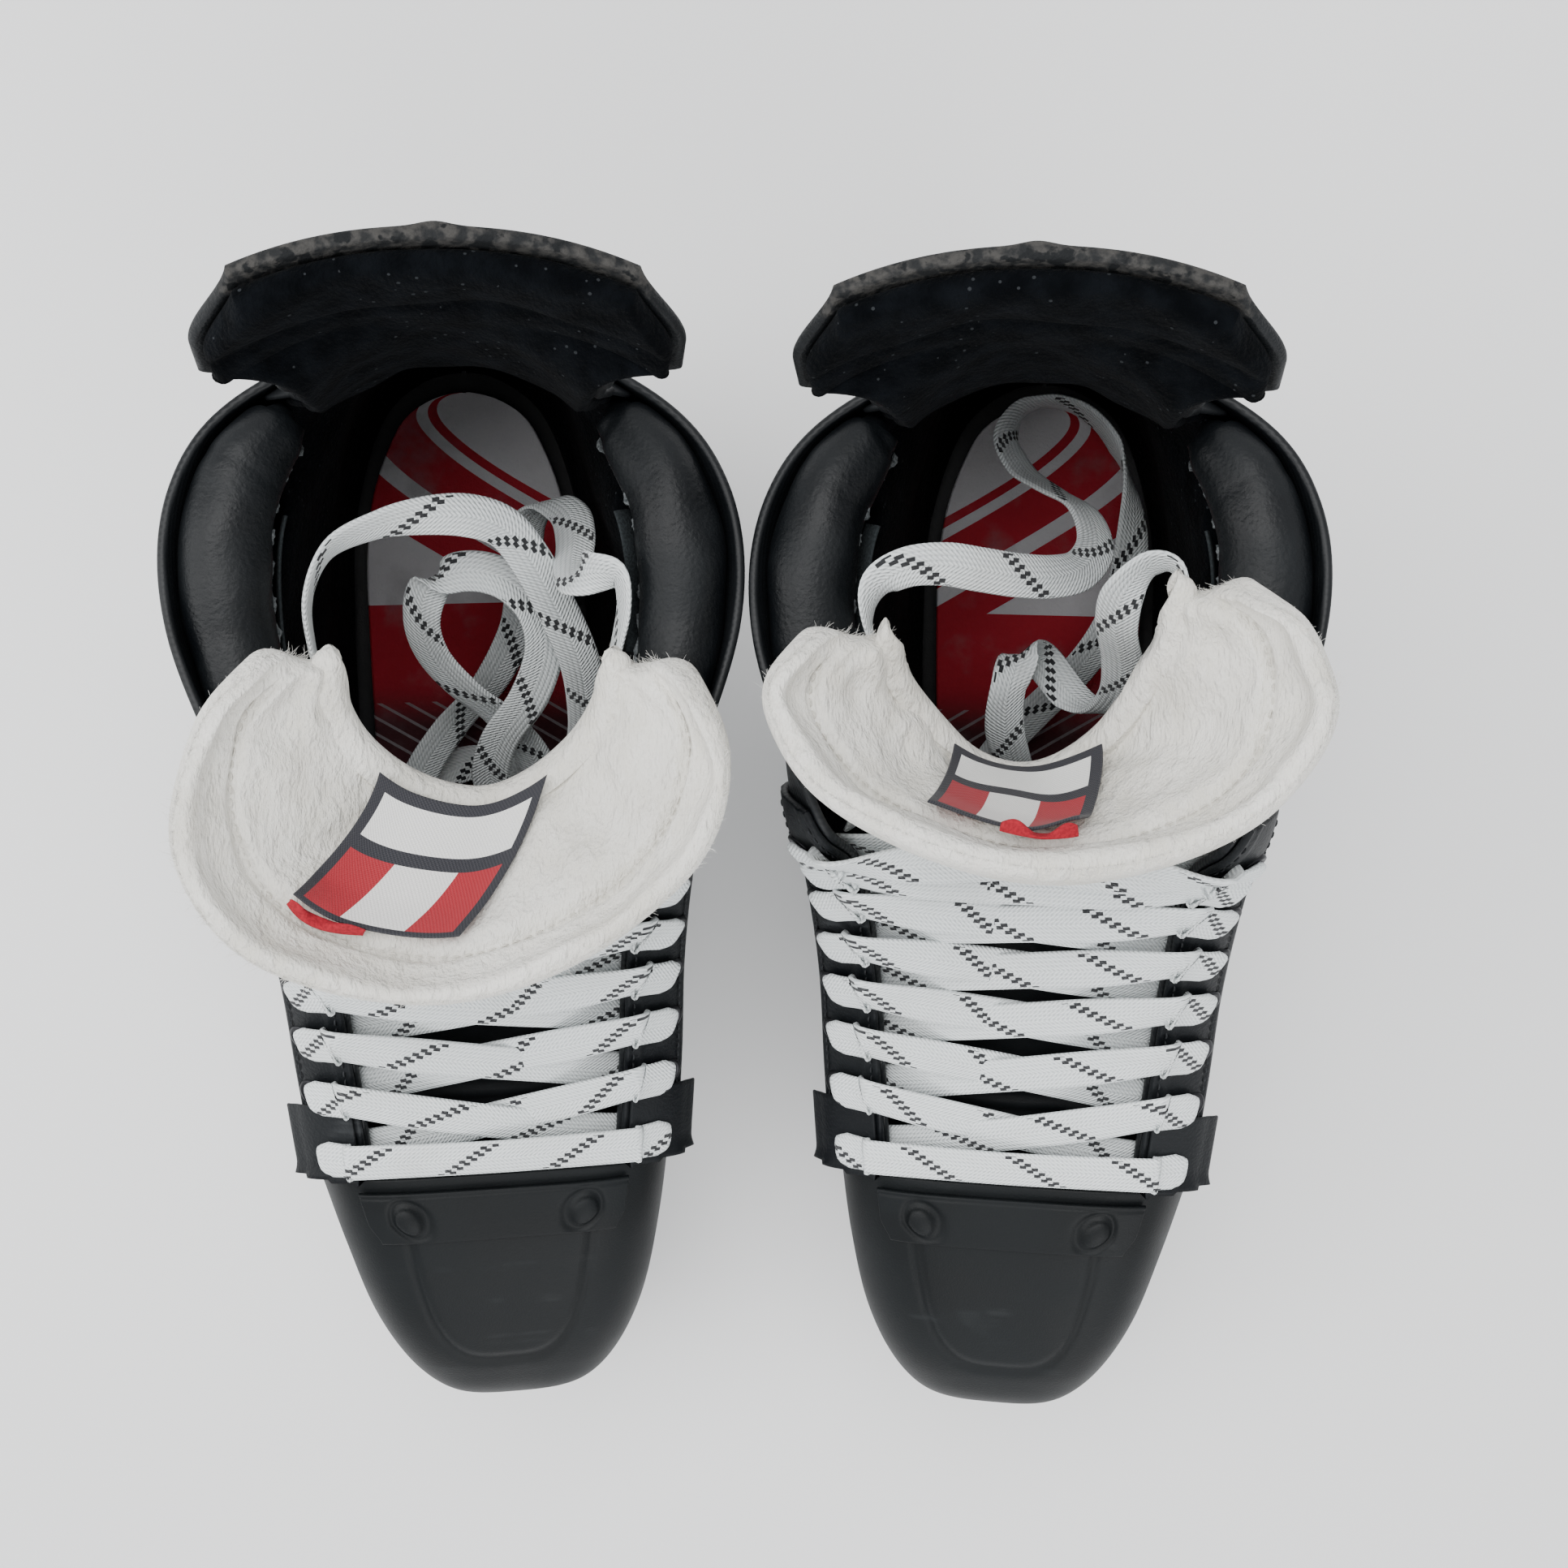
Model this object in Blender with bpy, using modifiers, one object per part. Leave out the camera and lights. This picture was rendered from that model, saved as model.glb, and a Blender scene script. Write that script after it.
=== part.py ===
"""A pair of ice hockey skates, leaning on each other as they stand on a floor, with the laces tucked inside.

Each skate is drawn upright in its own frame, in millimetres: toe at -Y, heel at +Y, medial side at +X, and
z = 0 at the runner's lowest point. An empty then leans it, turns it and, for the left skate, mirrors it.
"""

import math

import bmesh
import bpy
from mathutils import Euler, Matrix, Vector

MM = 0.001

# ---------------------------------------------------------------- driving dimensions, in millimetres
LEAN_DEG = 8.3  # each skate tips inwards until the two collars meet
TOE_IN_DEG = 1.3
STANCE_HALF = 86.6  # from the pair's middle to each runner's foot
LEFT_AHEAD = 3.3  # how far the left skate stands in front of the right one
PAIR_SHIFT = Vector((0.0, 6.958, 0.2165))  # brings the pair's box centre over the origin

SHELL = 2.2  # quarter and toe cap wall
GAP = 0.35  # between neighbouring pieces
OVERLAY_GAP = 0.6  # between two layers of the curved wall
LINING = 3.6
LINING_GAP = 1.0
PAD_R = 8.6  # collar roll
EYESTAY = 1.4
FELT = 6.6  # tongue felt
FACING = 1.6  # stiff skin on the tongue's front
LABEL_W = 41.0
LABEL_T = 0.8
OUTSOLE = 3.0
INSOLE = 3.4
STEEL = 3.0  # runner thickness
STEEL_TOP = 30.0
HOLDER_HALF = 5.6  # half width of the rail
BOLT_R = 2.2
BOLT_Z = 25.5
BOLT_Y = (-104.0, 98.0)
RIVET_R = 2.3
RIVETS = ((-100.0, 22.0), (-52.0, -24.0), (66.0, -19.5), (110.0, 19.5))  # (y, x) on the sole
EYELETS = (0.2, 0.82, 1.38, 1.88, 2.33, 2.75, 3.12, 3.47)  # how far along the wall each eyelet is
EYELET_V = 0.84
EYELET_R = 3.0
LACE_W = 9.8
LACE_T = 1.5
TAIL_R = 1.9
TONGUE_PIVOT = Vector((0.0, 27.0, 177.0))
GUARD_PIVOT = Vector((0.0, 127.0, 184.0))

# One column of cage points for each station from toe cap to heel: (y, z, medial width, lateral width),
# from the sole edge up to the eyestay and collar edge.
STATIONS = (
    ((-76, 60, 43, 44), (-76, 74, 47.5, 47.5), (-76, 89, 49, 48.5), (-76, 100, 49, 47), (-76, 107, 46.5, 43.5),
     (-76, 114, 33, 31)),
    ((-50, 60, 43, 46), (-50, 75, 49.5, 50), (-49, 90, 51.5, 50.5), (-48, 104, 51, 49.5), (-47.5, 114, 48, 46),
     (-47, 123.5, 34.5, 33)),
    ((-22, 60, 38, 42), (-22, 78, 46, 48.5), (-21, 98, 49.5, 50.5), (-20, 117, 51, 50.5), (-18.5, 131, 48, 47),
     (-17, 142, 35, 34.5)),
    ((8, 61.4, 34, 38), (8, 82, 42, 45), (8, 108, 47, 49), (9, 135, 51, 51), (10, 158, 49, 49),
     (13, 171, 37, 37)),
    ((34, 62.7, 34, 36), (34, 84, 41, 43), (33, 112, 45.5, 47), (32, 142, 50, 51), (30, 175, 53, 53.5),
     (27, 192, 45, 46)),
    ((66, 64.3, 35, 36), (66, 85, 41, 42), (66, 112, 42, 43), (66, 139, 47, 48), (66, 164, 56, 58),
     (66, 189, 60.5, 61.5)),
    ((98, 65.8, 33.5, 34), (99, 86, 39, 39), (100, 112, 39, 39), (99, 138, 41, 42), (98, 161, 50, 52),
     (97, 185, 59, 60.5)),
    ((126, 67.2, 22, 22), (131, 88, 27, 27), (132, 112, 27, 27), (128, 138, 27, 27), (123, 160, 32, 33),
     (118.5, 181, 41, 43)),
    ((135.5, 67.7, 0, 0), (145.5, 91, 0, 0), (146.5, 114, 0, 0), (141, 139, 0, 0), (136, 161, 0, 0),
     (134, 181, 0, 0)),
)
HEEL = len(STATIONS) - 1  # the heel seam's place along the wall

# Toe cap stations from its rear edge to the tip: (y, z of sole, z of crown, medial width, lateral width, x of middle)
TOES = (
    (-77, 60, 117, 49, 48, 0),
    (-100, 60, 113.5, 45, 43, 1),
    (-122, 60, 107, 39.5, 37.5, 2),
    (-139, 60, 98, 32, 29.5, 2.5),
    (-150, 60, 85.5, 23, 20.5, 3),
    (-155.5, 60, 60.6, 14.5, 13, 3),
)
TIP_BOW = 2.5  # the tip's lower edge bows forward by this much


# ---------------------------------------------------------------- shape helpers
def between(values, t):
    """Catmull-Rom curve through evenly spaced values, at t from 0 to len(values) - 1."""
    last = len(values) - 1
    i = min(max(int(math.floor(t)), 0), last - 1)
    f = t - i
    b, c = values[i], values[i + 1]
    a = values[i - 1] if i > 0 else b * 2 - c
    d = values[i + 2] if i + 2 <= last else c * 2 - b
    return (b * 2 + (c - a) * f + (a * 2 - b * 5 + c * 4 - d) * (f * f) + (b * 3 - a - c * 3 + d) * (f ** 3)) * 0.5


def wall_columns():
    """The cage round the whole boot: medial front, heel, lateral front."""
    medial = [[Vector((m, y, z)) for y, z, m, _ in column] for column in STATIONS]
    lateral = [[Vector((-w, y, z)) for y, z, _, w in column] for column in STATIONS[:-1]]
    return medial + lateral[::-1]


COLUMNS = wall_columns()


def wall(a, v, inset=0.0):
    """A point on the boot's side wall. a runs 0 (medial front) - HEEL - 2*HEEL (lateral front), v 0 (sole) - 1 (edge)."""
    def surface(a_, v_):
        rows = len(COLUMNS[0]) - 1
        return between([between(column, v_ * rows) for column in COLUMNS], a_)

    point = surface(a, v)
    if not inset:
        return point
    step = 0.02
    along = surface(min(a + step, 2 * HEEL), v) - surface(max(a - step, 0), v)
    up = surface(a, min(v + step, 1)) - surface(a, max(v - step, 0))
    return point - along.cross(up).normalized() * inset


def sole_z(y):
    """Height of the upper's bottom edge above the ice: level under the forefoot, rising to the heel."""
    return 60.0 + max(0.0, y + 20.0) * 0.0493


def toe(u, w, inset=0.0):
    """A point on the toe cap. u runs 0 (medial sole edge) - 1 (lateral sole edge), w 0 (rear edge) - 1 (tip)."""
    def surface(u_, w_):
        y, low, high, medial, lateral, middle = between([Vector(row) for row in TOES], w_ * (len(TOES) - 1))
        turn = math.pi * u_
        half = medial if u_ < 0.5 else lateral
        boxy = 0.42 + 0.22 * w_
        out = math.copysign(abs(math.cos(turn)) ** boxy, math.cos(turn))
        rise = math.sin(turn) ** boxy
        waist = 1 - 0.07 * (1 - rise) ** 4  # the wall tucks in to the sole
        bow = TIP_BOW * w_ ** 8 * (out * out - 1)
        return Vector((middle + half * out * waist, y + bow, low + (high - low) * rise))

    point = surface(u, w)
    if not inset:
        return point
    step = 0.01
    across = surface(min(u + step, 1), w) - surface(max(u - step, 0), w)
    ahead = surface(u, min(w + step, 1)) - surface(u, max(w - step, 0))
    return point - across.cross(ahead).normalized() * inset


TONGUE_LINE = [Vector((0, y, z)) for y, z in ((-86, 98), (-66, 108.5), (-47, 116.5), (-30, 125.5), (-14, 137.5),
                                               (0, 151), (11, 163), (20, 175))]


def tongue(x, t, inset=0.0):
    """A point on the tongue below the top lace: x across, t 0 (under the toe cap) - 1 (at the fold)."""
    span = len(TONGUE_LINE) - 1
    point = between(TONGUE_LINE, t * span)
    ahead = between(TONGUE_LINE, min(t * span + 0.05, span)) - between(TONGUE_LINE, max(t * span - 0.05, 0))
    up = Vector((1, 0, 0)).cross(ahead).normalized()
    return point + Vector((x, 0, 0)) - up * (0.0046 * x * x + inset)


# The folded top of each tongue, from the lateral ear to the medial one: its line where it comes out of the
# boot, and its rim. The right one lies over the laces and the left one stands higher.
FLAPS = {
    "right": (
        ((-27, 60, 200), (-26, 50, 196), (-21, 41, 191), (-11, 33, 188), (2, 29.5, 187), (13, 33, 188),
         (23, 41, 191), (29, 50, 196), (31, 58, 200)),
        ((-37, 64, 210), (-53, 48, 215), (-58, 24, 217), (-46, 0, 216), (-10, -11, 214), (24, -2, 214),
         (46, 15, 216), (54, 38, 215), (44, 61, 210)),
    ),
    "left": (
        ((-30, 77, 207), (-28, 67, 201), (-22, 56, 193), (-14, 46, 186), (-2, 39.5, 182), (9, 41, 183),
         (18, 48, 189), (26, 57, 197), (29, 66, 204)),
        ((-40, 81, 216), (-54, 72, 221), (-60, 57, 225), (-49, 37, 230), (-14, 24, 232), (18, 28, 231),
         (41, 38, 227), (52, 55, 222), (42, 71, 216)),
    ),
}
FLAP_SAG = Vector((0, -1.5, -3.0))  # how far the felt bellies out between those two lines


def flap(side, p, q, inset=0.0):
    """A point on the folded tongue's foot side. p runs 0 - 1 from the lateral ear to the medial one, q 0 - 1 to the rim."""
    inner, rim = ([Vector(place) for place in line] for line in FLAPS[side])

    def surface(p_, q_):
        t = p_ * (len(rim) - 1)
        return between(inner, t).lerp(between(rim, t), q_) + FLAP_SAG * (4 * q_ * (1 - q_))

    point = surface(p, q)
    if not inset:
        return point
    step = 0.01
    across = surface(min(p + step, 1), q) - surface(max(p - step, 0), q)
    out = surface(p, min(q + step, 1)) - surface(p, max(q - step, 0))
    return point - out.cross(across).normalized() * inset


def guard(u, w, inset=0.0):
    """A point on the tendon guard's back. u -1 - 1 across, w 0 (base) - 1 (top)."""
    def surface(u_, w_):
        half = between([35.0, 33.0, 32.0, 32.0, 32.5, 35.0, 42.0, 44.5, 44.5, 42.5, 38.0], w_ * 10)
        back = between([130.0, 128.0, 128.0, 130.0, 133.0, 136.5], w_ * 5)
        bow = between([13.0, 13.0, 13.0, 15.5, 13.0, 6.0], w_ * 5)
        height = 184.5 + w_ * (81.0 - 3.5 * abs(u_) ** 2.5)
        return Vector((half * u_, back - bow * abs(u_) ** 2.2, height))

    point = surface(u, w)
    if not inset:
        return point
    step = 0.02
    across = surface(min(u + step, 1), w) - surface(max(u - step, -1), w)
    up = surface(u, min(w + step, 1)) - surface(u, max(w - step, 0))
    return point - up.cross(across).normalized() * inset


# ---------------------------------------------------------------- Blender helpers
MATERIALS = {}


def material(name, colour, roughness, metallic=0.0):
    made = bpy.data.materials.new(name)
    made.use_nodes = True
    shader = made.node_tree.nodes["Principled BSDF"]
    shader.inputs["Base Color"].default_value = (*colour, 1.0)
    shader.inputs["Roughness"].default_value = roughness
    shader.inputs["Metallic"].default_value = metallic
    made.diffuse_color = (*colour, 1.0)
    MATERIALS[name] = made


def make_materials():
    material("black_composite", (0.012, 0.015, 0.017), 0.45)
    material("silver_quarter", (0.48, 0.50, 0.49), 0.4)
    material("black_plastic", (0.014, 0.019, 0.022), 0.5)
    material("black_leather", (0.012, 0.014, 0.016), 0.42)
    material("black_felt", (0.010, 0.013, 0.018), 0.95)
    material("white_felt", (0.80, 0.79, 0.74), 0.95)
    material("white_lace", (0.78, 0.82, 0.80), 0.8)
    material("insole_print", (0.55, 0.02, 0.05), 0.7)
    material("label_weave", (0.60, 0.02, 0.05), 0.7)
    material("white_plastic", (0.82, 0.83, 0.83), 0.35)
    material("outsole_composite", (0.03, 0.03, 0.032), 0.4)
    material("polished_steel", (0.62, 0.63, 0.64), 0.22, 1.0)
    material("bolt_steel", (0.5, 0.5, 0.5), 0.35, 1.0)
    material("copper", (0.62, 0.33, 0.20), 0.35, 1.0)


class Skate:
    """Makes one skate's objects: each is named for its side and parented to the skate's empty."""

    def __init__(self, side, stand, parts, cutters):
        self.side, self.stand, self.parts, self.cutters = side, stand, parts, cutters

    def add(self, name, data, finish=None, parent=None):
        made = bpy.data.objects.new(f"{self.side}_{name}", data)
        made.parent = parent or self.stand
        if parent:
            made.location = -parent.location  # the mesh is drawn in the skate's frame
        if finish is None:
            made.hide_render = True
            made.display_type = "WIRE"
            self.cutters.objects.link(made)
        else:
            data.materials.append(MATERIALS[finish])
            self.parts.objects.link(made)
        return made

    def sheet(self, name, steps, point, thickness, finish, parent=None):
        """A grid bent to point(i, j), with i and j from 0 to 1, and made solid away from its normal."""
        shape = bmesh.new()
        bmesh.ops.create_grid(shape, x_segments=steps[0], y_segments=steps[1], size=0.5)
        for vert in shape.verts:
            vert.co = point(vert.co.x + 0.5, vert.co.y + 0.5) * MM
        mesh = bpy.data.meshes.new(name)
        shape.to_mesh(mesh)
        shape.free()
        mesh.shade_smooth()
        made = self.add(name, mesh, finish, parent)
        solid = made.modifiers.new("thickness", "SOLIDIFY")
        solid.thickness = thickness * MM
        solid.offset = -1
        solid.use_even_offset = True
        solid.use_quality_normals = True
        return made

    def block(self, name, corners, finish=None):
        """A cube whose eight corners are moved: corners(sx, sy, sz) gives the place for each sign."""
        shape = bmesh.new()
        bmesh.ops.create_cube(shape, size=2.0)
        for vert in shape.verts:
            vert.co = Vector(corners(*(round(c) for c in vert.co))) * MM
        mesh = bpy.data.meshes.new(name)
        shape.to_mesh(mesh)
        shape.free()
        return self.add(name, mesh, finish)

    def rod(self, name, start, end, radius, finish=None, radius_end=None, sides=12):
        """A round rod or cone from start to end."""
        shape = bmesh.new()
        start, end = Vector(start), Vector(end)
        line = end - start
        turn = line.to_track_quat("Z", "Y").to_matrix().to_4x4()
        place = Matrix.Translation((start + end) / 2) @ turn
        bmesh.ops.create_cone(
            shape, cap_ends=True, segments=sides, radius1=radius,
            radius2=radius if radius_end is None else radius_end, depth=line.length, matrix=place,
        )
        for vert in shape.verts:
            vert.co = vert.co * MM
        mesh = bpy.data.meshes.new(name)
        shape.to_mesh(mesh)
        shape.free()
        return self.add(name, mesh, finish)

    def side_plate(self, name, outline, half, finish=None):
        """A flat outline in the side view, as (y, z) points, made 2 * half thick about the skate's middle."""
        curve = bpy.data.curves.new(name, "CURVE")
        curve.dimensions = "2D"
        curve.fill_mode = "BOTH"
        curve.extrude = half * MM
        spline = curve.splines.new("POLY")
        spline.points.add(len(outline) - 1)
        for point, (y, z) in zip(spline.points, outline):
            point.co = (y * MM, z * MM, 0, 1)
        spline.use_cyclic_u = True
        drawn = bpy.data.objects.new(name, curve)
        # The outline's own X and Y become the skate's Y and Z.
        drawn.matrix_world = Matrix(((0, 0, 1, 0), (1, 0, 0, 0), (0, 1, 0, 0), (0, 0, 0, 1)))
        return self.solid_of(name, drawn, finish)

    def solid_of(self, name, drawn, finish, parent=None):
        """Makes a drawn curve a welded mesh in the skate's frame."""
        bpy.context.scene.collection.objects.link(drawn)
        graph = bpy.context.evaluated_depsgraph_get()
        mesh = bpy.data.meshes.new_from_object(drawn.evaluated_get(graph))
        mesh.transform(drawn.matrix_world)
        shape = bmesh.new()
        shape.from_mesh(mesh)
        bmesh.ops.remove_doubles(shape, verts=shape.verts, dist=0.00001)
        bmesh.ops.recalc_face_normals(shape, faces=shape.faces)
        shape.to_mesh(mesh)
        shape.free()
        bpy.data.objects.remove(drawn)
        return self.add(name, mesh, finish, parent)

    def tube(self, name, points, radius, finish, widths=None, resolution=2, parent=None):
        """A round tube through points. widths scales its radius at each point."""
        curve = bpy.data.curves.new(name, "CURVE")
        curve.dimensions = "3D"
        curve.bevel_depth = radius * MM
        curve.bevel_resolution = resolution
        curve.use_fill_caps = True
        spline = curve.splines.new("POLY")
        spline.points.add(len(points) - 1)
        for k, (point, place) in enumerate(zip(spline.points, points)):
            point.co = (*(Vector(place) * MM), 1)
            point.radius = widths[k] if widths else 1.0
        drawn = bpy.data.objects.new(name, curve)
        return self.solid_of(name, drawn, finish, parent)

    def cut(self, target, cutter, operation="DIFFERENCE"):
        change = target.modifiers.new(cutter.name, "BOOLEAN")
        change.operation = operation
        change.solver = "EXACT"
        change.object = cutter


# ---------------------------------------------------------------- the boot
def wall_piece(skate, name, a_span, v_span, steps, inset, thickness, finish, top=None):
    """A patch of the side wall. top(a), where given, replaces the upper end of v_span."""
    def point(i, j):
        a = a_span[0] + (a_span[1] - a_span[0]) * i
        high = top(a) if top else v_span[1]
        return wall(a, v_span[0] + (high - v_span[0]) * j, inset)

    return skate.sheet(name, steps, point, thickness, finish)


def lining_top(a):
    """The lining stops under the collar pads and below the eyelets, and rises behind the heel."""
    near_heel = 1 - min(1.0, abs(a - HEEL) / 1.9)
    return 0.75 + 0.19 * min(1.0, near_heel * 1.8)


def eyelet_place(side, k):
    """(a, v) of eyelet k, counted from the toe up. side is 1 for medial and -1 for lateral."""
    front = EYELETS[k]
    return (front if side > 0 else 2 * HEEL - front), EYELET_V


def make_quarters(skate):
    half_seam = 0.02
    spans = {"medial": (0.0, HEEL - half_seam), "lateral": (HEEL + half_seam, 2.0 * HEEL)}
    for part, span in spans.items():
        quarter = wall_piece(skate, f"{part}_quarter", span, (0.0, 1.0), (24, 8), 0.0, SHELL, "silver_quarter")
        front = (0.02, 4.04) if part == "medial" else (2 * HEEL - 4.04, 2 * HEEL - 0.02)
        eyestay = wall_piece(
            skate, f"{part}_eyestay", front, (0.76, 1.0), (16, 4), -OVERLAY_GAP - EYESTAY, EYESTAY, "black_composite"
        )
        cutter = eyelet_cutter(skate, part)
        skate.cut(quarter, cutter)
        skate.cut(eyestay, cutter)


def eyelet_cutter(skate, part):
    """One mesh with a short rod through the wall at each eyelet."""
    shape = bmesh.new()
    for k in range(len(EYELETS)):
        a, v = eyelet_place(1 if part == "medial" else -1, k)
        inside, outside = wall(a, v, 6.0), wall(a, v, -5.0)
        turn = (outside - inside).to_track_quat("Z", "Y").to_matrix().to_4x4()
        place = Matrix.Translation((inside + outside) / 2) @ turn
        bmesh.ops.create_cone(
            shape, cap_ends=True, segments=6, radius1=EYELET_R, radius2=EYELET_R,
            depth=(outside - inside).length, matrix=place,
        )
    for vert in shape.verts:
        vert.co = vert.co * MM
    mesh = bpy.data.meshes.new("eyelets")
    shape.to_mesh(mesh)
    shape.free()
    return skate.add(f"{part}_eyelet_cutter", mesh)


def make_lining(skate):
    wall_piece(
        skate, "ankle_lining", (0.5, 2 * HEEL - 0.5), (0.06, 0.75), (24, 6), SHELL + LINING_GAP, LINING, "black_felt",
        top=lining_top,
    )


def make_collar_pads(skate):
    """A padded roll along each side of the ankle opening."""
    count = 11
    for part, sign in (("medial", 1), ("lateral", -1)):
        points, widths = [], []
        for k in range(count):
            share = k / (count - 1)
            front = 4.05 + 2.65 * share
            a = front if sign > 0 else 2 * HEEL - front
            fat = 0.55 + 0.45 * math.sin(math.pi * share) ** 0.5
            points.append(wall(a, 0.915, SHELL + OVERLAY_GAP + PAD_R * fat))
            widths.append(fat)
        skate.tube(f"{part}_collar_pad", points, PAD_R, "black_leather", widths)


def make_toe(skate):
    def cap(i, j):
        return toe(0.005 + 0.99 * i, j)

    skate.sheet("toe_cap", (14, 7), cap, SHELL, "black_plastic")

    def plate(i, j):
        return toe(0.365 + 0.27 * i, 0.03 + 0.13 * j, -GAP - 1.5)

    skate.sheet("toe_cap_plate", (6, 2), plate, 1.5, "black_plastic")


def sole_plate(skate, name, inset, lift, thickness, finish, tip=1.0):
    """A plate that fills the sole's outline, with its top face lift above the upper's bottom edge."""
    toes = [w for w in (1.0, 0.96, 0.9, 0.84, 0.77, 0.69, 0.55, 0.4, 0.2) if w <= tip]
    walls = (0.0, 0.5, 1.0, 1.5, 2.0, 2.5, 3.0, 3.5, 4.0, 4.5, 5.0, 5.5, 6.0, 6.4, 6.8, 7.1, 7.4, 7.65, 7.85, 7.95)
    pairs = [(toe(0.0, w), toe(1.0, w)) for w in toes]
    pairs += [(wall(a, 0.0), wall(2 * HEEL - a, 0.0)) for a in walls]
    outline = [pair[0] for pair in pairs] + [pair[1] for pair in reversed(pairs)]
    taken_in = []
    for k, place in enumerate(outline):
        ahead = outline[(k + 1) % len(outline)] - outline[k - 1]
        taken_in.append(place - Vector((ahead.y, -ahead.x, 0)).normalized() * inset)
    count = len(pairs)

    def point(i, j):
        row = round(i * (count - 1))
        place = taken_in[row].lerp(taken_in[2 * count - 1 - row], j)
        return Vector((place.x, place.y, sole_z(place.y) + lift))

    return skate.sheet(name, (count - 1, 4), point, thickness, finish)


def make_soles(skate):
    outsole = sole_plate(skate, "outsole", 0.4, -GAP, OUTSOLE, "outsole_composite")
    for k, (y, x) in enumerate(RIVETS):
        z = sole_z(y)
        hole = skate.rod(f"rivet_hole_{k}", (x, y, z - 12), (x, y, z + 4), RIVET_R + 0.35)
        skate.cut(outsole, hole)
    sole_plate(skate, "insole", 7.6, 7.4, INSOLE, "insole_print", tip=0.85)


# ---------------------------------------------------------------- the tongue
def make_tongue(skate, fold):
    def face(inset):
        return lambda i, j: tongue(-34 + 68 * i, j, inset)

    skate.sheet("tongue_facing", (6, 7), face(0.0), FACING, "black_plastic")
    skate.sheet("tongue_felt", (6, 7), face(FACING + GAP), FELT, "white_felt")

    def foot_side(i, j):
        return flap(skate.side, 1 - i, j)

    skate.sheet("tongue_top", (18, 4), foot_side, FELT, "white_felt", fold)

    def label(i, j):
        q = 0.14 + 0.70 * j
        return flap(skate.side, 0.52 + (0.5 - i) * LABEL_W / (85 + 125 * q), q, -LABEL_T - OVERLAY_GAP)

    skate.sheet("tongue_label", (4, 3), label, LABEL_T, "label_weave", fold)


# ---------------------------------------------------------------- the tendon guard
def make_tendon_guard(skate, flex):
    def back(inset, width=1.0, low=0.0, high=1.0):
        return lambda i, j: guard(width - 2 * width * i, low + (high - low) * j, inset)

    skate.sheet("tendon_guard", (8, 10), back(0.0), 2.6, "black_plastic", flex)
    skate.sheet("tendon_guard_felt", (8, 10), back(2.6 + GAP, 0.97), 4.4, "black_felt", flex)


# ---------------------------------------------------------------- the lace
OVER = -(OVERLAY_GAP + EYESTAY + 1.25)  # inset of a strand lying on the eyestay
UNDER = SHELL + 1.6  # inset of a strand under it
LACE_FACE = Vector((0, -0.62, 0.78))  # the way a free strand's thin side faces


def lay(side, k, inset, shift):
    """A place on the lace near eyelet k and the way its thin side faces. shift moves it up the wall, in v."""
    a, v = eyelet_place(side, k)
    place = wall(a, v + shift, inset)
    return place, (wall(a, v + shift, inset - 1) - place).normalized()


def bore(side, k):
    """The middle of eyelet k's hole, where the lace's thin side faces up the wall."""
    a, v = eyelet_place(side, k)
    return wall(a, v, SHELL / 2), (wall(a, v + 0.03) - wall(a, v - 0.03)).normalized()


def over(side, k):
    """The strand on the outside of the eyestay, from its inner edge down to eyelet k."""
    steps = ((0.158, 0.8), (0.12, 0.8), (0.085, 0.7), (0.045, 0.5), (0.008, 0.0))
    return [lay(side, k, OVER - lift, shift) for shift, lift in steps]


def under(side, k):
    """The strand inside the boot, from eyelet k up to the eyestay's inner edge."""
    return [lay(side, k, UNDER + drop, shift) for shift, drop in ((0.01, 0.2), (0.08, 0.7), (0.155, 0.5))]


def crossing(side, k):
    """One strand from eyelet k on one side, under its eyestay, across, and over the other one to eyelet k + 1."""
    start, end = under(side, k), over(-side, k + 1)
    leave, arrive = start[-1][0], end[0][0]
    middle = (leave + arrive) / 2 + Vector((0, 0, (3.4 if side > 0 else 0.8) - 0.6 * k))
    free = [leave.lerp(middle, 0.5) + Vector((0, 0, 0.8)), middle, arrive.lerp(middle, 0.5) + Vector((0, 0, 0.8))]
    return [bore(side, k)] + start + [(place, LACE_FACE) for place in free] + end


def lace_half(side):
    """From the middle of the bottom bar to the inside of the top eyelet that this half ends in."""
    here, there = over(side, 0), over(-side, 0)
    route = [((here[0][0] + there[0][0]) / 2 + Vector((0, 0, 2.0)), LACE_FACE)] + here
    for k in range(len(EYELETS) - 1):
        route += crossing(side, k)
        side = -side
    top = len(EYELETS) - 1
    return route + [bore(side, top), lay(side, top, UNDER + 0.6, -0.008)]


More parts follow.
